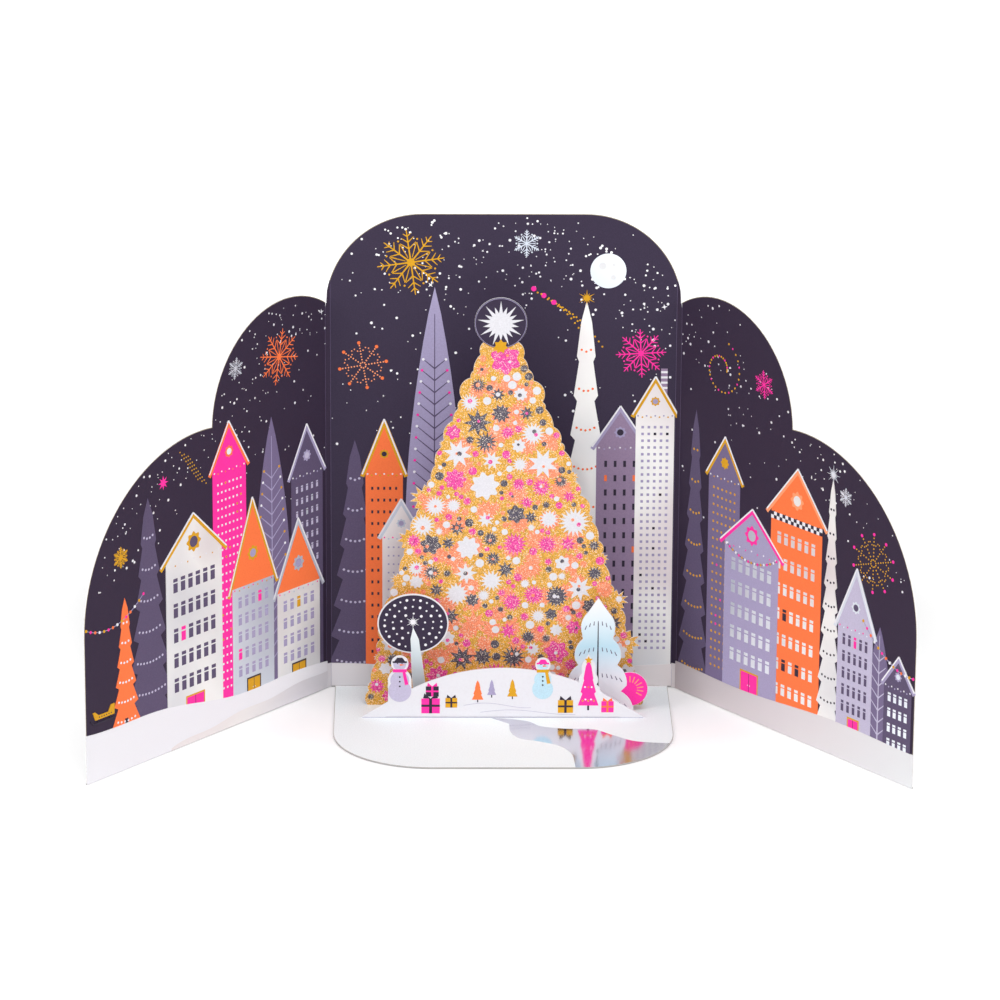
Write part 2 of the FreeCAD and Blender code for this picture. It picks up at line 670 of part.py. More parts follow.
parts = [
    folded_card(),
    standing_layer("tree_layer", tree_faces(), "tree_setback", "tree_tab_width", "tree_tab_depth"),
    standing_layer("middle_layer", middle_faces(), "middle_setback", "middle_tab_width", "middle_tab_depth"),
    standing_layer("snow_bank", bank_faces(), "bank_setback", "bank_tab_width", "bank_tab_depth"),
    strap("tree_strap", "0", "-$tree_setback + $layer", "0", "$tree_strap_top", "$tree_strap_tab",
          "$tree_strap_width"),
    strap("middle_strap", "0", "-$middle_setback + $layer", "-$tree_setback", "$low_strap_top",
          "$low_strap_tab", "$low_strap_width"),
    strap("bank_strap_left", "-$bank_strap_place", "-$bank_setback + $layer", "-$middle_setback",
          "$low_strap_top", "$low_strap_tab", "$low_strap_width"),
    strap("bank_strap_right", "$bank_strap_place", "-$bank_setback + $layer", "-$middle_setback",
          "$low_strap_top", "$low_strap_tab", "$low_strap_width"),
]
doc.recompute()

for feature in doc.Objects:
    if "Invalid" in feature.State or "Error" in feature.State:
        raise RuntimeError("%s failed to build" % feature.Name)
os.makedirs("parts", exist_ok=True)
for part in parts:
    shape = part.Shape
    if shape.isNull() or not shape.isValid():
        raise RuntimeError("%s has no valid shape" % part.Label)
for part in parts:
    part.Shape.exportStep("parts/%s.step" % part.Label)
    box = part.Shape.BoundBox
    print("%-18s %d solid(s)  %9.1f mm3  x %.1f..%.1f  y %.1f..%.1f  z %.1f..%.1f" % (
        part.Label, len(part.Shape.Solids), part.Shape.Volume,
        box.XMin, box.XMax, box.YMin, box.YMax, box.ZMin, box.ZMax))
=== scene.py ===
"""The looks of a standing pop-up card: printed and foiled panels, glittered tree, painted paper layers."""
import math
import random

import bmesh
import bpy
import numpy as np
from mathutils import Matrix, Vector


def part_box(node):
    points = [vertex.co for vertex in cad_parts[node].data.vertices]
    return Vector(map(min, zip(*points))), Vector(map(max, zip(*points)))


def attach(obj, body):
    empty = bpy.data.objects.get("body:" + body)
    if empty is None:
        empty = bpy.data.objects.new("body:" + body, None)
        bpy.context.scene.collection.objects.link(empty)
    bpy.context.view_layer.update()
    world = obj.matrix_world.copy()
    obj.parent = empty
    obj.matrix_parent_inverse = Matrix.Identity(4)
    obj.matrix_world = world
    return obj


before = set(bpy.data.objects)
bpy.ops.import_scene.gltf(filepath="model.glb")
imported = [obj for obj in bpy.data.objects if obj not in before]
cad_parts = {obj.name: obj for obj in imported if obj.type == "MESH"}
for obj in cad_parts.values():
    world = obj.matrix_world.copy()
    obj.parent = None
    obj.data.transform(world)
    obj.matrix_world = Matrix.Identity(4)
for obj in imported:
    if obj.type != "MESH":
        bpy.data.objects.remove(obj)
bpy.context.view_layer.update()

# Sizes, in millimetres, and angles, in degrees

MM = 0.001
BOARD = 0.45
PANEL_WIDTH = 127.0
PANEL_HEIGHT = 177.8
SPINE_WIDTH = 1.8
INNER_HALF = PANEL_WIDTH / 2 - SPINE_WIDTH
CORNER_RADIUS = 34.4
WING_LENGTH = 127.0
LEFT_WING_ANGLE = 50.2
RIGHT_WING_ANGLE = 52.6
UPPER_LOBE_RADIUS = 39.7
UPPER_LOBE_TOP = 151.6
UPPER_LOBE_REACH = 21.0
LOWER_LOBE_RADIUS = 60.8
LOWER_LOBE_TOP = 113.8
BASE_WIDTH = 120.7
BASE_DEPTH = 82.6
BASE_CORNER_RADIUS = 34.4
TOPPER_RADIUS = 9.3
TOPPER_CENTRE = (-1.3, 143.5)
ROUND_TREE = (-32.1, 33.8, 12.7, 11.2)
TRUNK = (-29.0, 5.4, 3.0)
FIR = (34.0, 43.5, 26.0)
FIR_TIERS = 4
FIR_TIER = 9.9
BUSH = (45.6, 9.0, 6.4)

# Print: rims of bare paper, heights off the paper, and the order of the shapes as levels

CUT_RIM = 0.5
TREE_RIM = 0.06
EDGE_LINE = (0.02, 0.24)
SNOW_LINE = 9.0
FOOT_RIM = 0.04
CENTRE_FOOT = 0.3
INK_STEP = 0.02
FACE_LIFT = 0.02
INK_FOOT = -0.01
SKY_LEVEL = 2
BANK_LEVEL = 2
BACKING_LEVEL = -0.5
STAGGER = 0.0004
STAGGER_TURNS = 9

# Drawing: numbers that several shapes share

CREASE_INK_TOP = 152
ROSETTE_SIDES = 48
FIR_NARROWING = 0.80
FIR_TIP = 0.4
LEAF_WIDEST = 0.333
LIT_WINDOWS = 0.06

# Colours, as they look on screen

INKS = {
    "sky": "33293F",
    "wing_sky": "2D2036",
    "dusk": "5A4E6B",
    "dusk_light": "75688B",
    "lavender": "A69DC0",
    "lavender_light": "C1BAD3",
    "mauve": "96819E",
    "pink": "FF30A2",
    "orange": "FF7A42",
    "peach": "FFA070",
    "ochre": "DAA01C",
    "ink_black": "2F2738",
    "snow": "EDECF1",
    "paper_white": "DFDEE4",
    "base_white": "EBF1F3",
    "pale_blue": "BCDCEA",
    "grey_line": "BCB8CA",
    "cut_edge": "AFA48C",
    # grey for the base's cut edge: its own colour darkened with painted shade
    "cut_edge_grey": "BFBDB8",
}
MOTTLE = 0.10
STRONGER_MOTTLE = {"sky": 0.16, "wing_sky": 0.16, "dusk": 0.14, "snow": 0.015}
FOILS = {
    # tones, roughness, metallic, and how wide the bands are or where along X the tones lie, which paints a
    # highlight
    "silver": (("C4CCDA", "EEF4FC"), 0.38, 0.40),
    "star_foil": (("E4E2EA", "FFFFFF"), 0.5, 0.2),
    "pearl": (("E0D6D8", "F5F4F2", "DCDDE0"), 0.42, 0.25, 0.02),
    "snow_foil": (("DDD0D2", "ECE8E7", "D9D6DD"), 0.40, 0.3, 0.01),
    # the right wing's foil is lighter towards the wing's outer end: a painted highlight
    "wing_foil": (("CDC1C3", "DBD6D9", "E1E2E4"), 0.40, 0.3, None, (62, 138)),
    "mirror": (("CFCDD8", "E9E8EE"), 0.12, 1.0),
}
GLITTER_GRAIN = 4.4
GLITTER_TONES = {
    # colour, spread of the tones, and from which share of the flakes on they are painted near white as glints
    "gold_glitter": ("E0A63E", 0.36, 0.955),
    "pink_glitter": ("F2489F", 0.40, 0.96),
    "peach_glitter": ("FF9068", 0.30, 0.96),
    "coal_glitter": ("56515F", 0.60, 0.97),
}
FROSTED = {
    # height in millimetres and colour
    "frost": ((0, "F1E9EE"), (14, "E6E6EF"), (25, "B9DBEA"), (36, "E4EFF5"), (43, "F4F3F7")),
    "bark": ((0, "E2E4E8"), (9, "C0CBD2"), (22, "D3E0E6"), (34, "F2F5F7")),
}


def linear(code, gain=1.0):
    """Turn a screen colour into the renderer's linear colour."""
    channels = [int(code[i:i + 2], 16) / 255 for i in (0, 2, 4)]
    return [min(1.0, gain * (c / 12.92 if c <= 0.04045 else ((c + 0.055) / 1.055) ** 2.4))
            for c in channels] + [1.0]


# Materials

def make(tree, kind, sockets=None, **properties):
    """A new shader node: each socket is set to a value, or fed by another node's output."""
    made = tree.nodes.new("ShaderNode" + kind)
    for name, value in properties.items():
        setattr(made, name, value)
    for name, value in (sockets or {}).items():
        if isinstance(value, bpy.types.NodeSocket):
            tree.links.new(value, made.inputs[name])
        else:
            made.inputs[name].default_value = value
    return made


def new_material(name, roughness, metallic=0.0, specular=0.5):
    """A material with a principled shader, and its node tree."""
    material = bpy.data.materials.new(name)
    material.use_nodes = True
    tree = material.node_tree
    tree.nodes.clear()
    shader = make(tree, "BsdfPrincipled", {"Roughness": roughness, "Metallic": metallic,
                                           "Specular IOR Level": specular})
    make(tree, "OutputMaterial", {"Surface": shader.outputs["BSDF"]})
    return material, tree, shader


def texture(tree, kind, scale, **settings):
    """A texture node in object coordinates, with its scale given per millimetre."""
    place = make(tree, "TexCoord").outputs["Object"]
    return make(tree, "Tex" + kind, {"Vector": place, "Scale": scale / MM, **settings})


def fibres(tree, scale=1.3, detail=5.0, roughness=0.7):
    """The fine unevenness of paper, from 0 to 1."""
    return texture(tree, "Noise", scale, Detail=detail, Roughness=roughness).outputs["Fac"]


def position(tree, axis, low, high):
    """How far along an axis a point lies between two places in millimetres, from 0 to 1."""
    split = make(tree, "SeparateXYZ", {0: make(tree, "TexCoord").outputs["Object"]})
    share = make(tree, "MapRange", {"Value": split.outputs[axis], "From Min": low * MM,
                                    "From Max": high * MM})
    return share.outputs["Result"]


def ramp(tree, source, stops):
    """The colour from a ramp over one output, with stops as (place, colour)."""
    made = make(tree, "ValToRGB", {"Fac": source})
    elements = made.color_ramp.elements
    while len(elements) < len(stops):
        elements.new(0.5)
    for element, (place, colour) in zip(elements, stops):
        element.position = place
        element.color = colour
    return made.outputs["Color"]


def coat(tree, shader, colour, height, distance, strength):
    """Give a shader its colour, and a relief of a depth in millimetres."""
    relief = make(tree, "Bump", {"Height": height, "Distance": distance * MM, "Strength": strength})
    tree.links.new(colour, shader.inputs["Base Color"])
    tree.links.new(relief.outputs["Normal"], shader.inputs["Normal"])


def printed(name, code):
    """Matt ink on uncoated paper: the colour is mottled by the fibres."""
    material, tree, shader = new_material(name, 0.6 if name == "snow" else 0.72, specular=0.3)
    mottle = STRONGER_MOTTLE.get(name, MOTTLE)
    grain = fibres(tree, 2.2, 6.0, 0.75)
    tone = ramp(tree, grain, [(0.30, linear(code, 1 - mottle)), (0.50, linear(code)),
                              (0.72, linear(code, 1 + 1.4 * mottle))])
    coat(tree, shader, tone, grain, 0.02, 0.5)
    return material


def foil(name, tones, roughness, metallic, sweep=0.018, reach=None):
    """Stamped metal foil with a faint grain: its tones lie in slow bands, or from one X to another, which
    paints a highlight along the panel.
    """
    material, tree, shader = new_material(name, roughness, metallic)
    shares = [i / (len(tones) - 1) for i in range(len(tones))]
    if reach:
        place = position(tree, "X", *reach)
    else:
        place = fibres(tree, sweep, 1.0, 0.4)
        shares = [0.34 + 0.32 * share for share in shares]
    tone = ramp(tree, place, [(share, linear(code)) for share, code in zip(shares, tones)])
    coat(tree, shader, tone, fibres(tree, 1.6, 3.0, 0.6), 0.012, 0.35)
    return material


def glitter(name, code, spread, painted_glint_share):
    """Glitter flakes: each grain has its own tilt and brightness, and a few are painted near white as glints.
    """
    material, tree, shader = new_material(name, 0.45, 0.25)
    flakes = texture(tree, "Voronoi", GLITTER_GRAIN)
    split = make(tree, "SeparateColor", {"Color": flakes.outputs["Color"]})
    # The last stop paints the brightest flakes near white: painted glints.
    tone = ramp(tree, split.outputs["Red"], [
        (0.0, linear(code, 1 - spread)), (0.45, linear(code)), (0.86, linear(code, 1 + spread)),
        (painted_glint_share, linear("FFF3E0"))])
    coat(tree, shader, tone, split.outputs["Green"], 0.10, 0.8)
    return material


def frosted(name, stops):
    """Matt paper whose colour changes with height."""
    material, tree, shader = new_material(name, 0.6)
    top = stops[-1][0]
    tone = ramp(tree, position(tree, "Z", 0, top), [(height / top, linear(code)) for height, code in stops])
    coat(tree, shader, tone, fibres(tree), 0.02, 0.5)
    return material


def board(name, face, speck, rim=None):
    """White board with faint specks; rim colours the cut edge of a panel that lies flat, grey with painted
    shade.
    """
    material, tree, shader = new_material(name, 0.62, specular=0.3)
    grain = fibres(tree)
    colour = ramp(tree, grain, [(0.30, linear(speck)), (0.52, linear(face))])
    # The cut edge below the board's top is grey: its own colour with painted shade.
    if rim:
        height = position(tree, "Z", 0.96 * BOARD, 0.99 * BOARD)
        blend = make(tree, "Mix", {"A": linear(rim), "B": colour, "Factor": height}, data_type="RGBA")
        colour = blend.outputs["Result"]
    coat(tree, shader, colour, grain, 0.015, 0.4)
    return material


def make_materials():
    """Every finish on the card, by the name of its ink."""
    materials = {name: printed(name, code) for name, code in INKS.items()}
    materials.update({name: foil(name, *finish) for name, finish in FOILS.items()})
    materials.update({name: glitter(name, *finish) for name, finish in GLITTER_TONES.items()})
    materials.update({name: frosted(name, stops) for name, stops in FROSTED.items()})
    # ACAAA9 is the base's cut edge in grey, its own colour with painted shade.
    materials["board"] = board("board", "F3F2F4", "EAE6E2", "ACAAA9")
    materials["paper"] = board("paper", "E3E2E7", "E0DEE3")
    return materials


# Surfaces that carry print

class Surface:
    """A flat face of the card: a place on it is (u, v) in millimetres, and lift stands off it."""

    def __init__(self, name, origin, along, up, normal):
        self.name = name
        self.origin = Vector(origin)
        self.along = Vector(along)
        self.up = Vector(up)
        self.normal = Vector(normal)

    def at(self, u, v, lift=0.0):
        return self.origin + (self.along * u + self.up * v + self.normal * lift) * MM


def crease_line():
    """Where the centre panel's printed face meets the surface that the card stands on, as a Y."""
    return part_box("folded_card")[1].y / MM - BOARD


def turned_surface(name, side, turn, across, forward=0.0):
    """The printed face of a strip or wing that is turned forward: u runs out from its inner crease."""
    origin = (side * across * MM, (crease_line() - forward) * MM, 0)
    return Surface(name, origin, (side * math.cos(turn), -math.sin(turn), 0), (0, 0, 1),
                   (-side * math.sin(turn), -math.cos(turn), 0))


def side_surfaces(name, side, angle):
    """The printed faces of a wing, and of the narrow strip between its two creases."""
    turn = math.radians(angle)
    across = INNER_HALF + SPINE_WIDTH * math.cos(turn / 2)
    return [turned_surface(name, side, turn, across, SPINE_WIDTH * math.sin(turn / 2)),
            turned_surface(name + "_spine", side, turn / 2, INNER_HALF)]


def upright(name, node):
    """The front face of an upright paper layer."""
    return Surface(name, (0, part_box(node)[0].y, 0), (1, 0, 0), (0, 0, 1), (0, -1, 0))


def make_surfaces():
    """Every printed face, by name."""
    faces = [
        Surface("centre", (0, crease_line() * MM, 0), (1, 0, 0), (0, 0, 1), (0, -1, 0)),
        Surface("base", (0, 0, BOARD * MM), (1, 0, 0), (0, 1, 0), (0, 0, 1)),
        *side_surfaces("left", -1, LEFT_WING_ANGLE),
        *side_surfaces("right", 1, RIGHT_WING_ANGLE),
        upright("tree", "tree_layer"),
        upright("middle", "middle_layer"),
        upright("bank", "snow_bank"),
    ]
    return {face.name: face for face in faces}


SURFACES = make_surfaces()
PRINTS = {}


def ink(surface, colour, outline, level=1):
    """Print a flat shape: it joins the others of its colour on its surface, and level is its order."""
    PRINTS.setdefault((surface, colour), []).append((outline, level))


def build_prints(materials):
    """Turn the collected shapes into one mesh for each colour on each surface."""
    for (surface, colour), shapes in PRINTS.items():
        face = SURFACES[surface]
        points, polygons = [], []
        for index, (outline, level) in enumerate(shapes):
            top = FACE_LIFT + INK_STEP * level + STAGGER * (index % STAGGER_TURNS)
            first = len(points)
            count = len(outline)
            points += [face.at(u, v, top) for u, v in outline]
            points += [face.at(u, v, INK_FOOT) for u, v in outline]
            polygons.append(tuple(range(first, first + count)))
            polygons.append(tuple(range(first + 2 * count - 1, first + count - 1, -1)))
            for i in range(count):
                j = (i + 1) % count
                polygons.append((first + i, first + count + i, first + count + j, first + j))
        mesh = bpy.data.meshes.new("print_%s_%s" % (surface, colour))
        mesh.from_pydata(points, [], polygons)
        shell = bmesh.new()
        shell.from_mesh(mesh)
        bmesh.ops.recalc_face_normals(shell, faces=shell.faces)
        shell.to_mesh(mesh)
        shell.free()
        mesh.materials.append(materials[colour])
        piece = bpy.data.objects.new(mesh.name, mesh)
        bpy.context.scene.collection.objects.link(piece)
        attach(piece, "root")


# Outlines

def polar(u, v, radius, angle):
    """The point at a distance from a place, at an angle in radians."""
    return u + radius * math.cos(angle), v + radius * math.sin(angle)


def arc(u, v, radius, first, last, steps):
    """Points along an arc, with its angles in degrees."""
    return [polar(u, v, radius, math.radians(first + (last - first) * i / steps)) for i in range(steps + 1)]


def round_angles(count, first=0.0):
    """Angles in radians all the way round, from a first one in degrees."""
    return [math.radians(first) + 2 * math.pi * i / count for i in range(count)]


def oval(u, v, across, tall, sides=24):
    return [(u + across * math.cos(angle), v + tall * math.sin(angle)) for angle in round_angles(sides)]


def disc(u, v, radius, sides=18):
    return oval(u, v, radius, radius, sides)


def box(u, v, width, height):
    """A rectangle by the middle of its foot."""
    return [(u - width / 2, v), (u + width / 2, v), (u + width / 2, v + height), (u - width / 2, v + height)]


def strip(start, end, width, end_width=None):
    """A straight stroke, tapered if its end has another width."""
    du, dv = end[0] - start[0], end[1] - start[1]
    length = math.hypot(du, dv)
    nu, nv = -dv / length, du / length
    a, b = width / 2, (width if end_width is None else end_width) / 2
    return [(start[0] + nu * a, start[1] + nv * a), (start[0] - nu * a, start[1] - nv * a),
            (end[0] - nu * b, end[1] - nv * b), (end[0] + nu * b, end[1] + nv * b)]


def star(u, v, tips, reaches, turn=0.0):
    """A star with its first tip up, turned by degrees: its reaches are a tip's and a hollow's by turns."""
    angles = round_angles(tips * len(reaches), 90 + turn)
    return [polar(u, v, reaches[i % len(reaches)], angle) for i, angle in enumerate(angles)]


def rosette(u, v, petals, radius, depth, turn=0.0):
    """A flower with round petals, turned by radians."""
    return [polar(u, v, radius * (1 - depth + depth * math.cos(petals * angle)), angle + turn)
            for angle in round_angles(ROSETTE_SIDES)]


def mirrored(u, right, top):
    """A tree's outline from its right half, as (reach, height), and the height of its tip."""
    return [(u + r, v) for r, v in right] + [(u, top)] + [(u - r, v) for r, v in reversed(right)]


def fir_outline(u, foot, width, height, tiers):
    """A fir in straight-edged tiers."""
    tier = height / (tiers + FIR_TIP)
    right = []
    for i in range(tiers):
        reach = width / 2 * (1 - FIR_NARROWING * i / tiers)
        right += [(reach, foot + tier * i), (reach * 0.58, foot + tier * (i + 0.86))]
    return mirrored(u, right, foot + height)


def leaf_outline(u, foot, width, height, steps=14):
    """A tall pointed tree, widest a third of the way up."""
    right = []
    for i in range(steps):
        share = i / steps
        if share < LEAF_WIDEST:
            reach = 0.30 + 0.70 * math.sin(math.pi * share * 1.5)
        else:
            reach = leaf_taper(share)
        right.append((width / 2 * reach, foot + height * share))
    return mirrored(u, right, foot + height)


def leaf_taper(share):
    """How wide a pointed tree still is, at a share of its height above its widest place."""
    return math.cos(max(0, share - LEAF_WIDEST) / (1 - LEAF_WIDEST) * math.pi / 2) ** 0.85


def under_curve(start, end, floor, curve, steps=48):
    """The area between a floor and a curve."""
    places = [start + (end - start) * i / steps for i in range(steps + 1)]
    return [(start, floor)] + [(u, curve(u)) for u in places] + [(end, floor)]


def bulged(start, end, bulge, steps=6):
    """Points along a curve that bulges to the right of the way by a share of its chord, end left out."""
    du, dv = end[0] - start[0], end[1] - start[1]
    shares = [(i / steps, 4 * bulge * i / steps * (1 - i / steps)) for i in range(steps)]
    return [(start[0] + du * t + dv * side, start[1] + dv * t - du * side) for t, side in shares]


def round_fir_outline(u, foot, top, width, tiers):
    """The die-cut fir, in tiers with rounded edges."""
    tier = (top - foot) / (tiers + 0.35)
    right = []
    for i in range(tiers):
        reach = width / 2 * (1 - 0.74 * i / tiers)
        low = (reach, foot + tier * i)
        high = (reach * 0.66, low[1] + tier * 0.78)
        right += bulged(low, high, 0.14) + [high]
    return mirrored(u, right, top)


# Motifs

def dots(surface, colours, places, radius, level):
    """A row of dots that takes its colours by turns."""
    for i, (u, v) in enumerate(places):
        ink(surface, colours[i % len(colours)], disc(u, v, radius, 10), level)


def along_curve(curve, count):
    return [curve(i / (count - 1)) for i in range(count)]


def windows(surface, colours, left, foot, across, up, step, size, level, chooser):
    """A grid of windows, a few of them lit in another colour; wide ones have a small pane on top."""
    base, accents = colours[0], colours[1:]
    width, height = size
    parts = ((0, 1),) if width < 1.0 else ((0, 0.66), (0.76, 0.24))
    for row in range(up):
        for column in range(across):
            colour = base
            if accents and chooser.random() < LIT_WINDOWS:
                colour = chooser.choice(accents)
            u = left + step[0] * (column + 0.5)
            v = foot + step[1] * row
            for start, share in parts:
                ink(surface, colour, box(u, v + height * start, width, height * share), level)


def house(surface, u, foot, width, wall, roof, inks, level, chooser, grid=(4, 8), panes=("silver",),
          pane=(0.9, 1.3), door=None, chimney=False, trim="snow", gable=None):
    """A tall gabled house: wall, overhanging roof with snow on its slopes, windows, lights and a door."""
    wall_ink, roof_ink = inks
    eave = 0.09 * width
    top = foot + wall
    ink(surface, wall_ink, box(u, foot, width, wall), level)
    ink(surface, gable or wall_ink, [(u - width / 2, top), (u + width / 2, top), (u, top + roof)], level)
    if chimney:
        place = u + width * 0.22
        ink(surface, "mauve", box(place, top + roof * 0.35, width * 0.17, roof * 0.95), level - 1)
        for i in range(4):
            ink(surface, "snow", box(place, top + roof * (0.72 + 0.15 * i), width * 0.17, roof * 0.06), level)
    for side in (-1, 1):
        low = (u + side * (width / 2 + eave), top - eave * roof / width)
        ink(surface, roof_ink, strip(low, (u, top + roof), 1.5), level + 1)
        ink(surface, "snow", strip((low[0], low[1] + 0.9), (u, top + roof + 0.9), 0.55), level + 2)
    ink(surface, roof_ink, rosette(u, top + roof * 0.36, 8, width * 0.13, 0.12), level + 1)
    ink(surface, panes[0], disc(u, top + roof * 0.36, width * 0.07), level + 2)
    lights = [(u + width * (i + 0.5) / 9 - width / 2, top - 0.7 - 0.5 * (i % 2)) for i in range(9)]
    dots(surface, (trim, roof_ink), lights, 0.32, level + 2)
    columns, rows = grid
    margin = 0.10 * width
    low_floor = 0.20 if door else 0.07
    step = ((width - 2 * margin) / columns, (wall * (0.97 - low_floor)) / rows)
    windows(surface, panes, u - width / 2 + margin, foot + wall * low_floor, columns, rows, step, pane,
            level + 2, chooser)
    if door:
        tall = min(8.5, wall * 0.15)
        frame_ink = "ochre" if door == "pink" else "ink_black"
        ink(surface, frame_ink, box(u, foot, width * 0.34, tall + 0.6), level + 2)
        ink(surface, door, box(u, foot, width * 0.34 - 1.1, tall), level + 3)
        ink(surface, "ink_black", strip((u, foot), (u, foot + tall), 0.2), level + 4)
        for side in (-1, 1):
            ink(surface, "snow", disc(u + side * 0.55, foot + tall * 0.45, 0.2, 8), level + 4)


def fir(surface, u, foot, width, height, tiers, colour, marks, level, trunk=None):
    """A tiered fir with a row of marks along each tier."""
    if trunk:
        ink(surface, trunk, box(u, foot - 0.06 * height, 0.12 * width, 0.1 * height), level)
    ink(surface, colour, fir_outline(u, foot, width, height, tiers), level)
    for i in range(tiers):
        reach = width / 2 * (1 - FIR_NARROWING * i / tiers)
        v = foot + height * (i + 0.22) / (tiers + FIR_TIP)
        count = max(2, int(round(reach / 1.1)))
        for k in range(count):
            share = (k + 0.5) / count * 2 - 1
            place = (u + share * reach * 0.74, v - 0.10 * height / tiers * (1 - share * share))
            ink(surface, marks, disc(place[0], place[1], 0.45, 10), level + 1)


def leaf_tree(surface, u, foot, width, height, colour, vein, level, berries=()):
    """A tall pointed tree with slanting strokes either side of its stem, and berries at their ends."""
    ink(surface, colour, leaf_outline(u, foot, width, height), level)
    ink(surface, vein, strip((u, foot), (u, foot + height * 0.93), 0.7, 0.25), level + 1)
    rows = int(height / 6)
    for i in range(rows):
        share = 0.10 + 0.72 * i / rows
        v = foot + height * share
        reach = width / 2 * leaf_taper(share) * 0.72
        for side in (-1, 1):
            tip = (u + side * reach, v + reach * 0.85)
            ink(surface, vein, strip((u, v), tip, 0.5, 0.25), level + 1)
            if berries:
                ink(surface, berries[(i + side) % len(berries)], disc(tip[0], tip[1], 0.5, 10), level + 2)


def snowflake(surface, u, v, radius, colour, arms=6, turn=0.0, weight=0.5):
    """A feathered snow crystal: barbed arms, with a fine ray and a dot between each pair."""
    shapes = []
    for angle in round_angles(arms, 90 + turn):
        shapes.append(strip(polar(u, v, 0.06 * radius, angle), polar(u, v, radius, angle), weight,
                            weight * 0.6))
        for share, length in ((0.42, 0.30), (0.62, 0.24), (0.80, 0.15)):
            root = polar(u, v, radius * share, angle)
            for side in (-1, 1):
                tip = polar(*root, radius * length, angle + side * math.radians(52))
                shapes.append(strip(root, tip, weight * 0.8, weight * 0.4))
        between = angle + math.pi / arms
        shapes.append(strip(polar(u, v, 0.16 * radius, between), polar(u, v, 0.62 * radius, between),
                            weight * 0.4, weight * 0.7))
        shapes.append(disc(*polar(u, v, 0.74 * radius, between), weight * 0.62, 10))
    for shape in shapes:
        ink(surface, colour, shape, SKY_LEVEL)
    ink(surface, colour, star(u, v, arms, (0.2 * radius, 0.11 * radius), turn), SKY_LEVEL + 1)


def dotted_flake(surface, u, v, radius, colours, arms=8, turn=0.0):
    """A snow crystal drawn in dots, with a larger dot at each tip."""
    for angle in round_angles(arms, 90 + turn):
        places = [(polar(u, v, radius * k / 8, angle), 0.30) for k in range(1, 8)]
        fork = polar(u, v, radius * 0.55, angle)
        places += [(polar(*fork, 1.3 * k, angle + side * math.radians(50)), 0.27)
                   for side in (-1, 1) for k in (1, 2)]
        for place, size in places:
            ink(surface, colours[0], disc(*place, size, 8), SKY_LEVEL)
        ink(surface, colours[1], disc(*polar(u, v, radius, angle), 0.62, 12), SKY_LEVEL)


def garland(surface, start, end, sag, count, colours, level, radius=0.5, cord="ink_black"):
    """A hanging string with coloured lights along it."""
    def hang(t):
        return (start[0] + (end[0] - start[0]) * t,
                start[1] + (end[1] - start[1]) * t - 4 * sag * t * (1 - t))
    places = along_curve(hang, count)
    for a, b in zip(places, places[1:]):
        ink(surface, cord, strip(a, b, 0.22), level)
    dots(surface, colours, places, radius, level + 1)


def sky_dots(surface, inside, count, seed, spread):
    """Small foil stars, closer together along a slanting band."""
    chooser = random.Random(seed)
    placed = 0
    while placed < count:
        u = chooser.uniform(*spread[0])
        v = chooser.uniform(*spread[1])
        band = math.exp(-((v - spread[2](u)) / 15.0) ** 2)
        if not inside(u, v) or chooser.random() > 0.20 + 0.80 * band:
            continue
        size = 0.18 + 0.36 * chooser.random() ** 2.2
        if chooser.random() < 0.02:
            ink(surface, "star_foil", star(u, v, 4, (size * 2.4, size * 0.8), chooser.uniform(0, 90)), 1)
        else:
            ink(surface, "star_foil", disc(u, v, size, 8), 1)
        placed += 1


# Panel outlines

def wing_top(u):
    """The height of a wing's edge, at a distance from its crease."""
    upper_v = UPPER_LOBE_TOP - UPPER_LOBE_RADIUS
    lower_u = WING_LENGTH - LOWER_LOBE_RADIUS
    lower_v = LOWER_LOBE_TOP - LOWER_LOBE_RADIUS
    heights = []
    if abs(u - UPPER_LOBE_REACH) <= UPPER_LOBE_RADIUS:
        heights.append(upper_v + math.sqrt(UPPER_LOBE_RADIUS ** 2 - (u - UPPER_LOBE_REACH) ** 2))
    if u >= UPPER_LOBE_REACH + UPPER_LOBE_RADIUS * 0.9 and abs(u - lower_u) <= LOWER_LOBE_RADIUS:
        heights.append(lower_v + math.sqrt(LOWER_LOBE_RADIUS ** 2 - (u - lower_u) ** 2))
    return max(heights) if heights else 0.0


def wing_outline(inset):
    """The outline of a wing's printed face."""
    upper = (UPPER_LOBE_REACH, UPPER_LOBE_TOP - UPPER_LOBE_RADIUS, UPPER_LOBE_RADIUS - inset)
    lower = (WING_LENGTH - LOWER_LOBE_RADIUS, LOWER_LOBE_TOP - LOWER_LOBE_RADIUS, LOWER_LOBE_RADIUS - inset)
    du, dv = lower[0] - upper[0], lower[1] - upper[1]
    gap = math.hypot(du, dv)
    along = (gap ** 2 + upper[2] ** 2 - lower[2] ** 2) / (2 * gap)
    across = math.sqrt(upper[2] ** 2 - along ** 2)
    cusp = (upper[0] + du / gap * along - dv / gap * across, upper[1] + dv / gap * along + du / gap * across)
    first = math.degrees(math.atan2(cusp[1] - upper[1], cusp[0] - upper[0]))
    last = math.degrees(math.acos(-upper[0] / upper[2]))
    low_last = math.degrees(math.atan2(cusp[1] - lower[1], cusp[0] - lower[0]))
    return ([(0, inset), (WING_LENGTH - inset, inset)] + arc(*lower, 0, low_last, 28)
            + arc(*upper, first, last, 28)[1:])


def panel_corner(side, angle, inset):
    """The centre of a top corner's arc and its radius, spines included."""
    turn = math.radians(angle)
    edge = INNER_HALF + SPINE_WIDTH * math.cos(turn / 2)
    return side * (edge - CORNER_RADIUS), PANEL_HEIGHT - CORNER_RADIUS, CORNER_RADIUS - inset


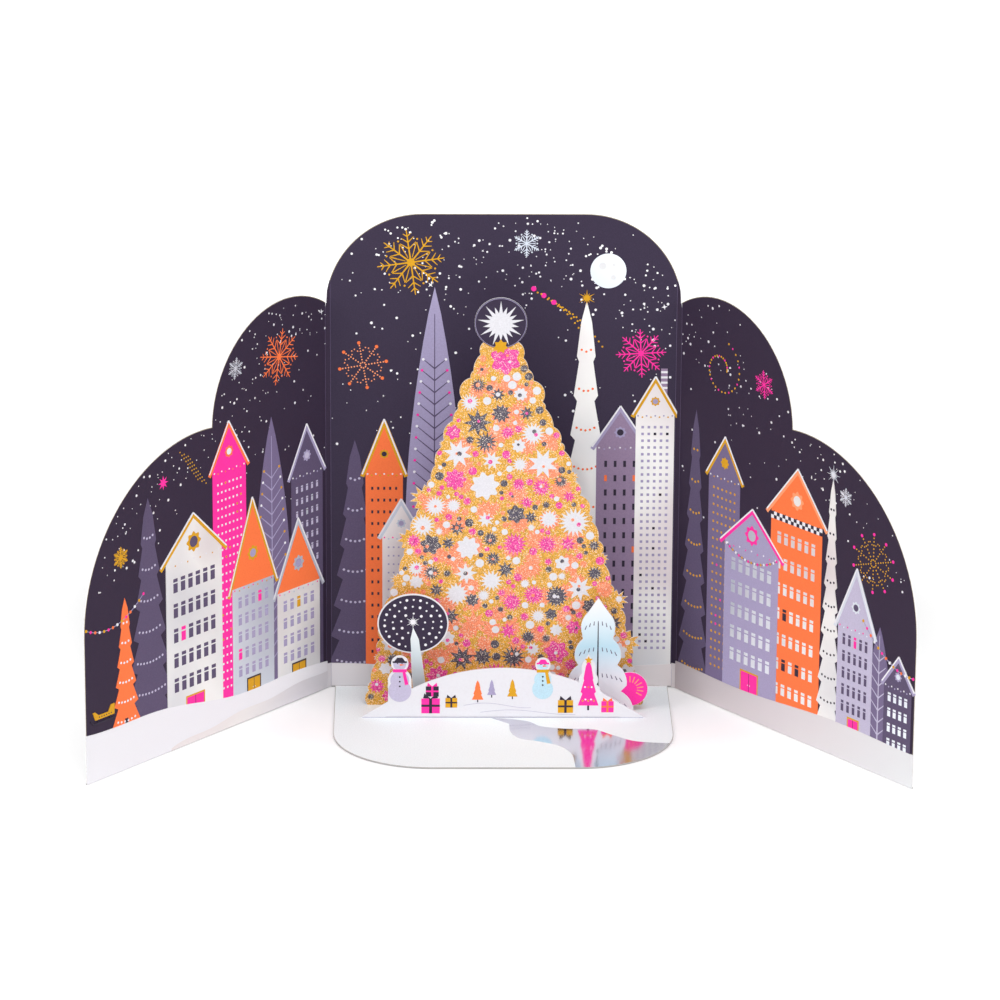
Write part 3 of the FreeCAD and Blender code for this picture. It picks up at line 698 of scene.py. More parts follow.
def centre_outline(inset):
    """The outline of the centre panel's printed face, up to the inner creases."""
    right = panel_corner(1, RIGHT_WING_ANGLE, inset)
    left = panel_corner(-1, LEFT_WING_ANGLE, inset)
    start = math.degrees(math.acos((INNER_HALF - right[0]) / right[2]))
    finish = math.degrees(math.acos((-INNER_HALF - left[0]) / left[2]))
    foot = BOARD + CENTRE_FOOT
    return ([(-INNER_HALF, foot), (INNER_HALF, foot)] + arc(*right, start, 90, 20)
            + arc(*left, 90, finish, 20))


def spine_outline(side, angle, inset):
    """The outline of a spine's printed face, under the corner's arc and the wing's edge."""
    centre_u, centre_v, radius = panel_corner(side, angle, inset)
    turn = math.radians(angle) / 2
    top = []
    for i in range(9):
        along = SPINE_WIDTH * i / 8
        across = INNER_HALF + along * math.cos(turn) - abs(centre_u)
        height = centre_v + math.sqrt(max(0.0, radius ** 2 - across ** 2))
        limit = wing_top(0) - 0.4 if along > SPINE_WIDTH - 1.25 * BOARD else PANEL_HEIGHT
        top.append((along, min(height, limit)))
    return [(0, inset), (SPINE_WIDTH, inset)] + top[::-1]


# The sheet's printed faces

def print_faces():
    """The dark ground on the five upright faces, inside a thin line of bare cut edge, and the white base,
    inside a grey line of cut edge with painted shade.
    """
    bare, printed_from = EDGE_LINE
    ink("centre", "cut_edge", centre_outline(bare), BACKING_LEVEL)
    ink("centre", "sky", centre_outline(printed_from), 0)
    # The base's rim line is grey: the cut edge's own colour darkened as painted shade.
    ink("base", "cut_edge_grey", base_outline(bare), BACKING_LEVEL)
    ink("base", "base_white", base_outline(printed_from), 0)
    for side, name, angle in ((-1, "left", LEFT_WING_ANGLE), (1, "right", RIGHT_WING_ANGLE)):
        spine = name + "_spine"
        ink(name, "cut_edge", wing_outline(bare), BACKING_LEVEL)
        ink(name, "wing_sky", wing_outline(printed_from), 0)
        ink(spine, "wing_sky", spine_outline(side, angle, bare), 0)
        ink(spine, "snow_foil", box(SPINE_WIDTH / 2, FOOT_RIM, SPINE_WIDTH, SNOW_LINE + 0.26), 1)
        for u in (0.12, SPINE_WIDTH - 0.12):
            ink(spine, "grey_line", strip((u, 0.5), (u, SNOW_LINE), 0.13), 2)
        ink(name, "dusk", strip((0.12, SNOW_LINE + 1), (0.12, wing_top(0) - 1), 0.16), 0.5)
        edge = side * (INNER_HALF - 0.1)
        ink("centre", "dusk", strip((edge, SNOW_LINE + 1), (edge, CREASE_INK_TOP), 0.14), 0.5)


def base_outline(inset):
    """The outline of the base panel's upper face, from its crease to its rounded front corners."""
    half = BASE_WIDTH / 2
    front = -BASE_DEPTH / 2
    back = BASE_DEPTH / 2 - 2 * BOARD
    reach = BASE_CORNER_RADIUS - inset
    return ([(half - inset, back), (inset - half, back)]
            + arc(BASE_CORNER_RADIUS - half, front + BASE_CORNER_RADIUS, reach, 180, 270, 24)
            + arc(half - BASE_CORNER_RADIUS, front + BASE_CORNER_RADIUS, reach, 270, 360, 24))


def print_centre():
    """Night sky, tall trees and houses behind the big tree, and snow at their foot."""
    chooser = random.Random(11)
    outline = centre_outline(1.2)
    sky_dots("centre", lambda u, v: point_inside(outline, u, v) and v > 92, 400, 5,
             ((-61, 61), (92, 177), lambda u: 163 - 0.28 * u + 7 * math.sin(u / 17)))
    # left of the tree
    fir("centre", -53.0, 8, 20, 86, 7, "dusk", "lavender_light", 2)
    leaf_tree("centre", -24.5, 8, 21, 143, "lavender", "dusk", 3, ("pink", "snow"))
    house("centre", -42.5, 8, 13.4, 74, 19, ("orange", "ochre"), 4, chooser, (5, 15), ("ink_black",),
          (0.75, 1.1))
    house("centre", -36.4, 8, 13.6, 50, 13, ("pearl", "silver"), 8, chooser, (6, 14),
          ("lavender", "dusk", "pink"), (0.6, 0.6), trim="pink")
    # right of the tree
    fir("centre", 29.5, 8, 23, 138, 9, "pearl", "orange", 3)
    ink("centre", "ochre", star(29.5, 147, 6, (3.2, 0.9, 2.0, 0.9)), 5)
    house("centre", 42.0, 8, 17, 84, 14, ("mauve", "lavender"), 6, chooser, (4, 14),
          ("ink_black", "pink", "orange"), (0.98, 2.3))
    house("centre", 54.4, 8, 13.8, 96, 13, ("pearl", "ochre"), 10, chooser, (5, 34),
          ("lavender", "ink_black"), (0.95, 0.95), chimney=True, trim="lavender")
    # sky
    snowflake("centre", -33, 160, 12.0, "ochre", 8, 8, 0.6)
    snowflake("centre", 49.0, 126.5, 9.0, "pink", 8, 3, 0.55)
    ink("centre", "silver", disc(37, 157, 6.4, 40), SKY_LEVEL)
    for u, v, radius in ((35.0, 158.8, 1.3), (38.8, 154.6, 0.9), (39.0, 159.2, 0.6)):
        ink("centre", "pearl", disc(u, v, radius, 16), SKY_LEVEL + 1)
    snowflake("centre", 8, 167, 5.0, "silver", 6, 0, 0.5)
    dotted_flake("centre", -50, 122, 8.4, ("peach", "orange"), 8, 10)
    for i in range(3):
        arch = along_curve(lambda t, i=i: (12 + 3.6 * i + 16 * t,
                                           149 - 2.5 * i - 15 * t + 9 * t * (1 - t)), 13)
        dots("centre", ("ochre",), arch, 0.36, 2)
        ink("centre", "pink", disc(10.6 + 3.6 * i, 150.4 - 2.5 * i, 0.95), 2)
    # The drift at the panel's foot is in the darker snow foil: foil, and painted shade for the corner behind
    # the layers.
    drift = under_curve(-INNER_HALF, INNER_HALF, 0.6, lambda u: 8.8 + 0.5 * math.sin(u / 11 + 1))
    ink("centre", "snow_foil", drift, 14)


def print_left():
    """The left wing: houses and trees above a snow hill that climbs outwards."""
    chooser = random.Random(23)
    outline = wing_outline(1.4)
    sky_dots("left", lambda u, v: point_inside(outline, u, v) and v > 60, 240, 8,
             ((0, 126), (60, 151), lambda u: 142 - 0.42 * u + 5 * math.sin(u / 9)))
    house("left", 10.5, 9, 17, 76, 17, ("dusk", "lavender"), 2, chooser, (5, 15),
          ("lavender_light", "silver"), (1.0, 2.3))
    leaf_tree("left", 29.5, 9, 20, 101, "dusk_light", "lavender", 2, ("ochre", "snow"))
    house("left", 52.0, 9, 17.5, 88, 16, ("pink", "orange"), 6, chooser, (7, 26), ("snow", "ochre"),
          (0.75, 0.75))
    house("left", 15.5, 9, 23, 34, 25, ("pearl", "silver"), 9, chooser, (5, 4), ("lavender", "ochre"),
          (1.8, 4.0), "ochre", gable="orange", trim="pink")
    house("left", 40.0, 9, 22, 42, 31, ("silver", "ochre"), 9, chooser, (5, 5), ("lavender", "pink"),
          (1.7, 4.0), "ochre", gable="orange", trim="pink")
    house("left", 71.0, 9, 29, 60, 15, ("pearl", "ochre"), 10, chooser, (6, 5), ("dusk", "ochre", "pink"),
          (2.2, 5.2), "pink")
    fir("left", 94.0, 12, 25, 84, 7, "dusk", "lavender_light", 3)
    fir("left", 106.5, 17, 14, 46, 6, "orange", "snow", 6, "ink_black")
    snowflake("left", 25, 131, 10.2, "orange", 8, 12, 0.5)
    snowflake("left", 108, 78, 3.9, "ochre", 6, 0, 0.6)
    ink("left", "pink", star(86, 99.5, 8, (2.6, 1.1)), 2)
    snowflake("left", 48, 132, 4.0, "silver", 6, 10, 0.4)
    for i in range(3):
        trail = along_curve(lambda t, i=i: (64 + 2.1 * i + 9 * t, 94 + 1.2 * i + 12 * t), 10)
        dots("left", ("ochre",), trail, 0.28, 2)
    garland("left", (97, 62), (126, 56), 5, 14, ("pink", "ochre", "snow", "orange"), 8, 0.55, "lavender")
    hill = under_curve(0, WING_LENGTH - FOOT_RIM, FOOT_RIM,
                       lambda u: 9.6 + 9.5 * (u / WING_LENGTH) ** 1.3 + 1.2 * math.sin(u / 12 + 0.6))
    ink("left", "snow", hill, 15)
    band = under_curve(0.1, 84, FOOT_RIM,
                       lambda u: 6.2 * (1 - u / 84) ** 0.7 + 0.9 * math.sin(u / 10) ** 2 + 0.3)
    ink("left", "snow_foil", band, 16)
    sleigh("left", 118.0, 20.6, 15)


def print_right():
    """The right wing: houses and trees above a foiled bank of snow."""
    chooser = random.Random(37)
    outline = wing_outline(1.4)
    sky_dots("right", lambda u, v: point_inside(outline, u, v) and v > 60, 170, 13,
             ((0, 126), (60, 151), lambda u: 138 - 0.40 * u + 5 * math.cos(u / 8)))
    fir("right", 9.0, 9, 17, 99, 8, "dusk", "ochre", 2)
    house("right", 25.0, 9, 17, 78, 14, ("dusk_light", "ochre"), 4, chooser, (6, 22), ("ochre", "pink"),
          (0.8, 0.8))
    house("right", 64.0, 9, 27, 73, 17, ("orange", "peach"), 5, chooser, (6, 7), ("pearl", "ink_black"),
          (1.9, 4.2), trim="ink_black")
    house("right", 40.5, 9, 29, 55, 14, ("lavender", "pink"), 9, chooser, (6, 5), ("silver", "snow"),
          (2.1, 4.6), "pink")
    fir("right", 82.5, 9, 13, 92, 10, "pearl", "ink_black", 7)
    ink("right", "silver", star(82.5, 102.6, 8, (3.4, 0.9, 2.0, 0.9)), 9)
    house("right", 96.0, 10, 18, 40, 21, ("lavender_light", "silver"), 10, chooser, (5, 5),
          ("dusk", "pink"), (1.3, 4.0), "pink", trim="pink")
    leaf_tree("right", 108.5, 10, 12, 44, "dusk_light", "lavender_light", 7)
    house("right", 118.5, 10, 14, 25, 10, ("dusk", "lavender"), 11, chooser, (4, 4), ("silver", "ochre"),
          (1.5, 3.2))
    for i in range(18):
        for j in range(2):
            square = box(64 - 12.75 + 1.5 * i, 80.0 - 1.3 * j, 1.5, 1.3)
            ink("right", "snow" if (i + j) % 2 else "ink_black", square, 9)
    garland("right", (27, 63), (54, 63), 4, 17, ("snow", "pink", "ochre"), 13, 0.5, "dusk")
    garland("right", (100, 54), (126, 40), 4, 14, ("ochre", "pink", "orange", "snow"), 14, 0.55, "lavender")
    swirl = along_curve(lambda t: polar(22, 126, 3 + 8 * t, 7.5 * t), 34)
    dots("right", ("ochre", "ochre", "pink"), swirl, 0.38, 2)
    snowflake("right", 45, 126, 5.2, "pink", 6, 6, 0.45)
    dotted_flake("right", 104, 76, 10.5, ("ochre", "pink"), 10)
    snowflake("right", 89, 96, 3.4, "silver", 6, 0, 0.4)
    # The foiled bank grows lighter towards the wing's outer end: a painted highlight in its colour.
    bank = under_curve(0, WING_LENGTH - FOOT_RIM, FOOT_RIM,
                       lambda u: 9.8 + 3.4 * (u / WING_LENGTH) + 0.8 * math.sin(u / 15 + 2.2))
    ink("right", "wing_foil", bank, 15)


def sleigh(surface, u, foot, level):
    """A small sleigh with curled runners."""
    body = [(u - 5.2, foot + 1.8), (u + 4.4, foot + 1.8), (u + 5.6, foot + 4.8), (u + 4.4, foot + 4.8),
            (u + 2.6, foot + 3.3), (u - 2.2, foot + 3.3), (u - 3.6, foot + 5.6), (u - 5.4, foot + 5.6)]
    ink(surface, "ochre", body, level)
    ink(surface, "ink_black", strip((u - 5.6, foot + 0.5), (u + 5.2, foot + 0.5), 0.5), level + 1)
    ink(surface, "ink_black", strip((u + 5.2, foot + 0.5), (u + 6.6, foot + 2.0), 0.5, 0.3), level + 1)
    for post in (u - 3, u + 3):
        ink(surface, "ink_black", strip((post, foot + 0.5), (post, foot + 1.9), 0.4), level + 1)
    dots(surface, ("ink_black",), [(u - 3.6 + 1.2 * i, foot + 2.6) for i in range(6)], 0.25, level + 2)


def print_base():
    """A frozen pond of mirror foil in the white snow of the base."""
    half = BASE_WIDTH / 2 - 0.08
    front = -BASE_DEPTH / 2
    shore = [(-4.0, 7.6), (4.0, 6.4), (9.5, 4.0), (13.5, -0.6), (22.0, -3.0), (32.0, -3.6), (39.0, -9.6),
             (47.0, -15.6), (half, -17.6)]
    corner = arc(half - BASE_CORNER_RADIUS, front + BASE_CORNER_RADIUS, BASE_CORNER_RADIUS - 0.08,
                 -18, -92, 20)
    near = [(24.4, -35.0), (23.6, -28.0), (19.8, -20.4), (12.8, -15.9), (5.6, -12.6), (2.6, -6.4), (2.2, 2.0)]
    ink("base", "mirror", open_curve(shore) + corner + open_curve(near), 1)


def open_curve(corners, steps=7):
    """A smooth open curve through the corners."""
    ends = [corners[0]] + list(corners) + [corners[-1]]
    points = []
    for i in range(len(corners) - 1):
        p = [np.array(ends[i + k]) for k in range(4)]
        for step in range(steps):
            t = step / steps
            point = 0.5 * (2 * p[1] + (p[2] - p[0]) * t + (2 * p[0] - 5 * p[1] + 4 * p[2] - p[3]) * t * t
                           + (3 * p[1] - p[0] - 3 * p[2] + p[3]) * t ** 3)
            points.append((float(point[0]), float(point[1])))
    return points + [corners[-1]]


# The upright layers

def point_inside(outline, u, v):
    """Whether a point lies inside an outline."""
    inside = False
    for (a, b), (c, d) in zip(outline, outline[1:] + outline[:1]):
        if (b > v) != (d > v) and u < (c - a) * (v - b) / (d - b) + a:
            inside = not inside
    return inside


def front_outline(node):
    """The outline of a layer's front face, read from the frame, in millimetres."""
    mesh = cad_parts[node].data
    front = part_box(node)[0].y
    shell = bmesh.new()
    shell.from_mesh(mesh)
    bmesh.ops.remove_doubles(shell, verts=shell.verts, dist=1e-6)
    faces = [f for f in shell.faces if f.normal.y < -0.99 and abs(f.calc_center_median().y - front) < 1e-5]
    chosen = set(faces)
    following = {}
    for face in faces:
        for loop in face.loops:
            if sum(1 for other in loop.edge.link_faces if other in chosen) == 1:
                following[loop.vert.index] = loop.link_loop_next.vert.index
    places = {v.index: (v.co.x / MM, v.co.z / MM) for v in shell.verts}
    loops = []
    while following:
        start, here = following.popitem()
        chain = [start]
        while here != start:
            chain.append(here)
            here = following.pop(here)
        loops.append([places[i] for i in chain])
    shell.free()
    outline = max(loops, key=len)
    area = sum(a[0] * b[1] - b[0] * a[1] for a, b in zip(outline, outline[1:] + outline[:1]))
    return outline if area > 0 else outline[::-1]


def inset_outline(outline, rim):
    """The outline moved inwards by a rim, with its mitres held short."""
    points = np.array(outline)
    before = points - np.roll(points, 1, axis=0)
    after = np.roll(points, -1, axis=0) - points
    before /= np.linalg.norm(before, axis=1)[:, None]
    after /= np.linalg.norm(after, axis=1)[:, None]
    first = np.stack([-before[:, 1], before[:, 0]], axis=1)
    second = np.stack([-after[:, 1], after[:, 0]], axis=1)
    mitre = first + second
    mitre /= np.maximum(np.linalg.norm(mitre, axis=1), 0.2)[:, None]
    reach = rim / np.maximum((mitre * first).sum(axis=1), 0.55)
    return [tuple(p) for p in (points + mitre * reach[:, None]).tolist()]


def edge_distance(outline, u, v):
    """How far a point is from the outline."""
    a = np.array(outline)
    b = np.roll(a, -1, axis=0)
    p = np.array([u, v])
    along = b - a
    share = np.clip(((p - a) * along).sum(axis=1) / np.maximum((along ** 2).sum(axis=1), 1e-12), 0, 1)
    return float(np.sqrt(((a + along * share[:, None] - p) ** 2).sum(axis=1)).min())


GLITTERS = ("pink_glitter", "coal_glitter", "paper_white", "peach_glitter")
ORNAMENT_BATCHES = (
    # radius, how many, how close to its neighbours, shares of the four colours
    (5.2, 18, 0.86, (5, 5, 5, 1)),
    (4.0, 32, 0.84, (5, 5, 5, 1)),
    (2.8, 60, 0.86, (6, 5, 6, 2)),
    (1.6, 130, 0.92, (5, 4, 5, 2)),
    (0.9, 120, 0.98, (5, 4, 5, 2)),
)


def ornament(u, v, size, colour, chooser, level):
    """One ornament on the tree: a disc, a star, a many-pointed burst or a rosette."""
    turn = chooser.uniform(0, 60)
    if size < 1.2:
        ink("tree", colour, disc(u, v, size, 14), level)
        return
    kind = chooser.choice(("burst", "burst", "star", "rosette") if size > 1.9 else ("burst", "disc", "disc"))
    if kind == "disc":
        ink("tree", colour, disc(u, v, size * 0.85, 20), level)
    elif kind == "burst":
        tips = chooser.choice((10, 12, 14, 16) if size < 3.6 else (14, 16, 18))
        ink("tree", colour, star(u, v, tips, (size, size * chooser.uniform(0.50, 0.66)), turn), level)
    elif kind == "star":
        ink("tree", colour, star(u, v, 8, (size, size * 0.48), turn), level)
    else:
        ink("tree", colour, rosette(u, v, chooser.choice((6, 8)), size * 0.95, 0.14, turn), level)
    if size > 2.6:
        for _ in range(chooser.choice((0, 1, 1, 2))):
            other = chooser.choice([c for c in GLITTERS if c != colour])
            angle = chooser.uniform(0, 2 * math.pi)
            away = size * chooser.uniform(0.0, 0.4)
            ink("tree", other, disc(*polar(u, v, away, angle), chooser.uniform(0.5, 0.85), 14), level + 1)


def pack_ornaments(outline, chooser, placed, radius, count, nearness, top):
    """Find places for ornaments of about one radius, clear of those already placed."""
    low = min(u for u, v in outline)
    high = max(u for u, v in outline)
    found = []
    for _ in range(count * 60):
        if len(found) == count:
            break
        u, v = chooser.uniform(low, high), chooser.uniform(3, top)
        size = radius * chooser.uniform(0.82, 1.15)
        if not point_inside(outline, u, v) or edge_distance(outline, u, v) < size * 0.8:
            continue
        if all(math.hypot(u - a, v - b) > nearness * (size + c) for a, b, c in placed + found):
            found.append((u, v, size))
    return found


def print_tree():
    """Glitter over the whole tree, ornaments packed over it, and the starry topper."""
    outline = front_outline("tree_layer")
    topper_u, topper_v = TOPPER_CENTRE
    top = topper_v - TOPPER_RADIUS
    ink("tree", "gold_glitter", inset_outline(outline, TREE_RIM), 0)
    chooser = random.Random(91)
    for u, v, size in pack_ornaments(outline, chooser, [], 4.0, 80, 0.70, top - 2):
        ink("tree", "peach_glitter", star(u, v, 12, (size, size * 0.66), chooser.uniform(0, 30)), 1)
    placed = []
    for radius, count, nearness, shares in ORNAMENT_BATCHES:
        for u, v, size in pack_ornaments(outline, chooser, placed, radius, count, nearness, top - 1):
            colour = chooser.choices(GLITTERS, shares)[0]
            ornament(u, v, size, colour, chooser, 2)
            placed.append((u, v, size))
    ink("tree", "sky", disc(topper_u, topper_v, TOPPER_RADIUS - TREE_RIM, 64), 4)
    ink("tree", "lavender", disc(topper_u, topper_v, TOPPER_RADIUS - 0.26, 64), 5)
    ink("tree", "sky", disc(topper_u, topper_v, TOPPER_RADIUS - 0.43, 64), 6)
    ink("tree", "paper_white", star(topper_u, topper_v - 0.2, 9, (8.3, 3.9, 6.4, 3.9)), 7)
    ink("tree", "ochre", star(topper_u, top + 0.7, 7, (2.7, 1.8)), 8)


def print_middle():
    """The small trees before the big one."""
    u, v, across, tall = ROUND_TREE
    root, foot, tip = TRUNK
    ink("middle", "sky", oval(u, v, across - CUT_RIM, tall - CUT_RIM, 64), 1)
    ink("middle", "bark", [(root - foot / 2 + 0.2, 1), (root + foot / 2 - 0.2, 1), (u + 0.6 + tip / 2, v - 6),
                            (u, v - 1.4), (u + 0.6 - tip / 2, v - 6)], 2)
    for ring, count in ((0.80, 26), (0.57, 17), (0.34, 9)):
        for i in range(count):
            angle = 2 * math.pi * (i + 0.5 * ring) / count
            place = (u + across * ring * math.cos(angle), v + tall * ring * math.sin(angle))
            if not (abs(place[0] - u - 0.5) < 1.9 and place[1] < v):
                ink("middle", "snow", disc(place[0], place[1], 0.52 if i % 2 else 0.36, 12), 3)
    ink("middle", "snow", star(u, v + 0.6, 6, (2.6, 0.8, 1.7, 0.8)), 4)

    bush_u, bush_v, bush_radius = BUSH
    ink("middle", "pink", disc(bush_u, bush_v, bush_radius - TREE_RIM, 40), 0.6)
    for i in range(7):
        angle = math.radians(-30 + 20 * i)
        stroke = strip(polar(bush_u, bush_v, 2.6, angle), polar(bush_u, bush_v, 4.9, angle), 0.35)
        ink("middle", "peach", stroke, 1)

    fir_u, fir_top, fir_width = FIR
    crown = round_fir_outline(fir_u, BOARD, fir_top, fir_width, FIR_TIERS)
    ink("middle", "frost", inset_outline(crown, 2 * TREE_RIM), 1.5)
    for i in range(FIR_TIERS):
        reach = fir_width / 2 * (0.74 - 0.56 * i / FIR_TIERS)
        low = 1 + FIR_TIER * (i + 0.42)
        needles = along_curve(lambda t: (reach * (2 * t - 1), low - 1.8 * (2 * t - 1) ** 2), 13 - 2 * i)
        for across_fir, v in needles:
            end = (fir_u + across_fir * 1.12, v - 1.5)
            ink("middle", "dusk", strip((fir_u + across_fir, v), end, 0.22, 0.36), 2.5)
    ink("middle", "ink_black", strip((fir_u, 1), (fir_u, 34), 0.9, 0.3), 2.5)


def snowman(u, head, radius, body, coat, scarf, hat):
    """A snowman with a hat, a scarf, buttons and a carrot nose."""
    middle = head - 0.86 * (radius + body)
    ink("bank", coat, oval(u, middle - body * 0.95, body * 0.98, body * 1.0), BANK_LEVEL)
    ink("bank", coat, disc(u, middle, body * 0.80, 28), BANK_LEVEL)
    ink("bank", coat, disc(u, head - 0.2, radius * 0.74, 24), BANK_LEVEL)
    neck = head - radius * 0.86
    ink("bank", scarf, strip((u - radius * 0.8, neck), (u + radius * 0.8, neck), 1.15), BANK_LEVEL + 1)
    ink("bank", scarf, strip((u + radius * 0.45, head - radius * 0.9),
                             (u + radius * 0.8, middle - body * 0.4), 1.0, 1.3), BANK_LEVEL + 1)
    ink("bank", hat, [(u - radius * 0.66, head + radius * 0.22), (u + radius * 0.66, head + radius * 0.22),
                      (u + radius * 0.30, head + radius * 0.74), (u - radius * 0.30, head + radius * 0.74)],
        BANK_LEVEL + 2)
    brim = head + radius * 0.20
    ink("bank", hat, strip((u - radius * 0.82, brim), (u + radius * 0.82, brim), 0.6), BANK_LEVEL + 2)
    nose = [(u, head - 0.1), (u, head - 0.75), (u + radius * 0.62, head - 0.45)]
    ink("bank", "orange", nose, BANK_LEVEL + 3)
    for side in (-1, 1):
        ink("bank", "ink_black", disc(u + side * radius * 0.26, head + 0.12, 0.2, 10), BANK_LEVEL + 3)
    buttons = [(u, middle + body * (0.30 - 0.42 * i)) for i in range(3)]
    dots("bank", ("ink_black",), buttons, 0.32, BANK_LEVEL + 3)


def gift(u, foot, width, height, paper, ribbon):
    """A wrapped box with a bow."""
    ink("bank", paper, box(u, foot, width, height), BANK_LEVEL)
    ink("bank", ribbon, box(u, foot, width * 0.16, height), BANK_LEVEL + 1)
    ink("bank", ribbon, box(u, foot + height * 0.44, width, height * 0.15), BANK_LEVEL + 1)
    for side in (-1, 1):
        loop = [(u, foot + height), (u + side * width * 0.34, foot + height + width * 0.30),
                (u + side * width * 0.40, foot + height + width * 0.02)]
        ink("bank", ribbon, loop, BANK_LEVEL + 1)


def print_bank():
    """Snowmen, gifts and little firs on the front snow bank, and a painted shadow line in the crease along
    its foot.
    """
    # A grey line along the bank's foot: painted shadow where the bank meets the base.
    ink("bank", "grey_line", strip((-50.2, 0.62), (50.2, 0.62), 0.26), 0.5)
    snowman(-36.8, 21.0, 3.1, 4.2, "lavender_light", "pink", "ink_black")
    snowman(14.2, 20.6, 2.7, 3.8, "pale_blue", "ochre", "pink")
    gift(-25.8, 2.2, 6.6, 5.6, "pink", "ink_black")
    gift(-25.2, 8.6, 4.6, 3.8, "ink_black", "pink")
    gift(-18.4, 4.4, 4.2, 3.6, "ochre", "ink_black")
    gift(22.4, 2.4, 5.4, 4.8, "ochre", "ink_black")
    gift(37.4, 2.6, 4.4, 4.2, "pink", "orange")
    for u, foot, height, colour in ((-9.0, 7.4, 7.4, "orange"), (-4.0, 9.2, 5.8, "lavender"),
                                    (3.4, 8.6, 6.6, "ochre")):
        ink("bank", "ink_black", strip((u, foot - 1.0), (u, foot + 1), 0.4), 1)
        ink("bank", colour, fir_outline(u, foot, height * 0.56, height, 3), 2)
    u = 30.5
    ink("bank", "pink", fir_outline(u, 5.2, 7.4, 17.6, 3), 2)
    dots("bank", ("ochre", "snow"), [(u - 2.0 + 1.0 * i, 7.0 + 0.5 * (i % 2)) for i in range(5)], 0.34, 3)
    dots("bank", ("snow", "orange"), [(u - 1.2 + 1.2 * i, 12.2) for i in range(3)], 0.34, 3)
    ink("bank", "ochre", star(u, 22.4, 5, (1.5, 0.7)), 4)
    ink("bank", "ink_black", strip((u, 3.4), (u, 5.4), 0.7), 1)
    for start, end, lift in ((-14, 10, 5.2), (-8, 26, 2.6)):
        track = along_curve(lambda t: (start + (end - start) * t, lift + 0.9 * math.sin(5 * t)), 16)
        for a, b in zip(track, track[1:]):
            ink("bank", "grey_line", strip(a, b, 0.16), 1)


# Stage, light and camera

# lengths in metres and power in watts, as Blender takes them
FLOOR_REACH = 4.0
FLOOR_MIDDLE = 0.12
FLOOR_DROP = 0.0002
FLOOR_WHITE = 0.86
FLOOR_GLOW = ((0.115, 0.06), (0.150, 0.13), (0.172, 0.24), (0.75, 0.80))
WORLD_LIGHT = 0.48
LAMP_AIM = (0, 0, 0.07)
LAMPS = (
    # name, place, size and power
    ("key", (0.2, -1.0, 1.9), 1.1, 19),
    ("left_fill", (-1.45, -1.0, 0.9), 1.0, 13),
    ("right_fill", (1.45, -1.0, 0.9), 1.0, 10),
)


def plainly_seen(tree):
    """A factor: 1 where the camera, a reflection or glass sees the surroundings, and 0 for their light."""
    rays = make(tree, "LightPath").outputs
    seen = rays["Is Camera Ray"]
    for ray in ("Is Glossy Ray", "Is Transmission Ray"):
        seen = make(tree, "Math", {0: seen, 1: rays[ray]}, operation="MAXIMUM").outputs[0]
    return seen


def make_stage():
    """A white floor that keeps the shadow inside the wings, and glows more the further it lies from them."""
    mesh = bpy.data.meshes.new("floor")
    corners = [(x * FLOOR_REACH, y * FLOOR_REACH, 0) for x, y in ((-1, -1), (1, -1), (1, 1), (-1, 1))]
    mesh.from_pydata(corners, [], [(0, 1, 2, 3)])
    material, tree, shader = new_material("floor_white", 0.9, specular=0.0)
    shader.inputs["Base Color"].default_value = (FLOOR_WHITE, FLOOR_WHITE, FLOOR_WHITE, 1)
    place = make(tree, "TexCoord").outputs["Object"]
    distance = make(tree, "VectorMath", {0: place}, operation="LENGTH").outputs["Value"]
    amount = ramp(tree, distance, [(far, (light, light, light, 1)) for far, light in FLOOR_GLOW])
    strength = make(tree, "Math", {0: plainly_seen(tree), 1: amount}, operation="MULTIPLY").outputs[0]
    glow = make(tree, "Emission", {"Strength": strength})
    both = make(tree, "AddShader", {0: shader.outputs["BSDF"], 1: glow.outputs["Emission"]})
    output = next(n for n in tree.nodes if n.type == "OUTPUT_MATERIAL")
    tree.links.new(both.outputs["Shader"], output.inputs["Surface"])
    mesh.materials.append(material)
    floor = bpy.data.objects.new("floor", mesh)
    bpy.context.scene.collection.objects.link(floor)
    floor.location = (0, FLOOR_MIDDLE, -FLOOR_DROP)


def make_world():
    """Even daylight, plain white wherever the camera or a reflection sees it."""
    world = bpy.data.worlds.new("studio")
    bpy.context.scene.world = world
    world.use_nodes = True
    tree = world.node_tree
    tree.nodes.clear()
    strength = make(tree, "MapRange", {"Value": plainly_seen(tree), "To Min": WORLD_LIGHT, "To Max": 1.0})
    background = make(tree, "Background", {"Color": (1, 1, 1, 1), "Strength": strength.outputs["Result"]})
    make(tree, "OutputWorld", {"Surface": background.outputs["Background"]})


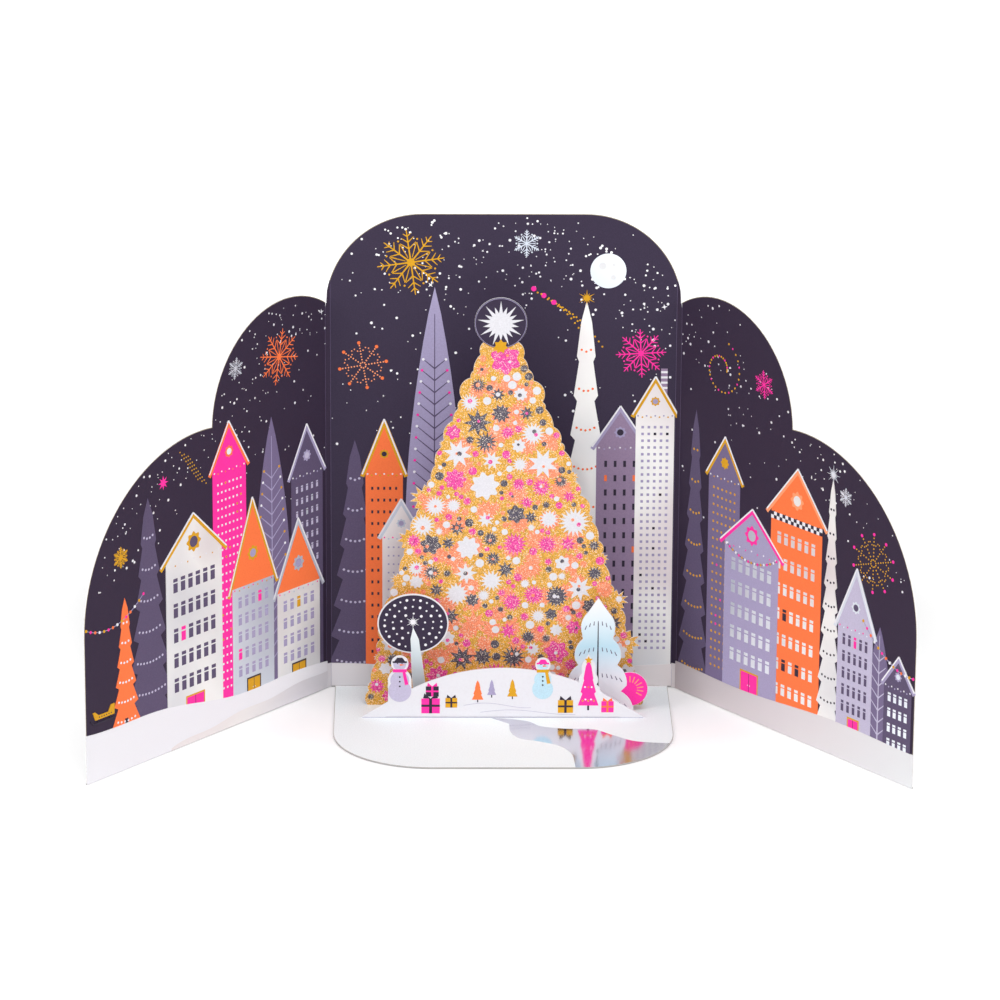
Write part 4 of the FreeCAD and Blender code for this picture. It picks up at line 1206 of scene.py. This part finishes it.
def add_lamp(name, place, size, power):
    """A square soft lamp that looks at the card."""
    data = bpy.data.lights.new(name, "AREA")
    data.size = size
    data.energy = power
    lamp = bpy.data.objects.new(name, data)
    bpy.context.scene.collection.objects.link(lamp)
    lamp.location = place
    lamp.rotation_euler = (Vector(LAMP_AIM) - Vector(place)).to_track_quat("-Z", "Y").to_euler()


# angles in degrees, and lengths in millimetres
CAMERA_ELEVATION = 18.18
CAMERA_AZIMUTH = -0.95
CAMERA_ROLL = -0.36
CAMERA_DISTANCE = 1896.65
CAMERA_TARGET = (-0.91, 71.49)
CAMERA_LENS = 190.04


def make_camera():
    """The photograph's view, a long lens a little above the card."""
    lift, turn = math.radians(CAMERA_ELEVATION), math.radians(CAMERA_AZIMUTH)
    away = Vector((math.sin(turn) * math.cos(lift), -math.cos(turn) * math.cos(lift), math.sin(lift)))
    target = Vector((CAMERA_TARGET[0], crease_line(), CAMERA_TARGET[1])) * MM
    right = Vector((math.cos(turn), math.sin(turn), 0))
    up = away.cross(right)
    basis = Matrix((right, up, away)).transposed()
    roll = Matrix.Rotation(math.radians(-CAMERA_ROLL), 3, "Z")
    data = bpy.data.cameras.new("camera")
    data.lens = CAMERA_LENS
    data.clip_end = 50
    camera = bpy.data.objects.new("camera", data)
    bpy.context.scene.collection.objects.link(camera)
    camera.matrix_world = Matrix.Translation(target + away * CAMERA_DISTANCE * MM) @ (basis @ roll).to_4x4()
    bpy.context.scene.camera = camera


def dress_nodes(materials):
    """Give the CAD solids their board and paper."""
    for name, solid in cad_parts.items():
        solid.data.materials.clear()
        solid.data.materials.append(materials["board" if name == "folded_card" else "paper"])


def main():
    materials = make_materials()
    dress_nodes(materials)
    print_faces()
    print_centre()
    print_left()
    print_right()
    print_base()
    print_tree()
    print_middle()
    print_bank()
    slots = {name: "printed_board" for name in SURFACES}
    slots.update({"tree": "glitter_paper", "middle": "layer_paper", "bank": "layer_paper"})
    build_prints(materials)
    make_stage()
    make_world()
    make_camera()
    for lamp in LAMPS:
        add_lamp(*lamp)
    bpy.context.scene.view_settings.view_transform = "Standard"


main()
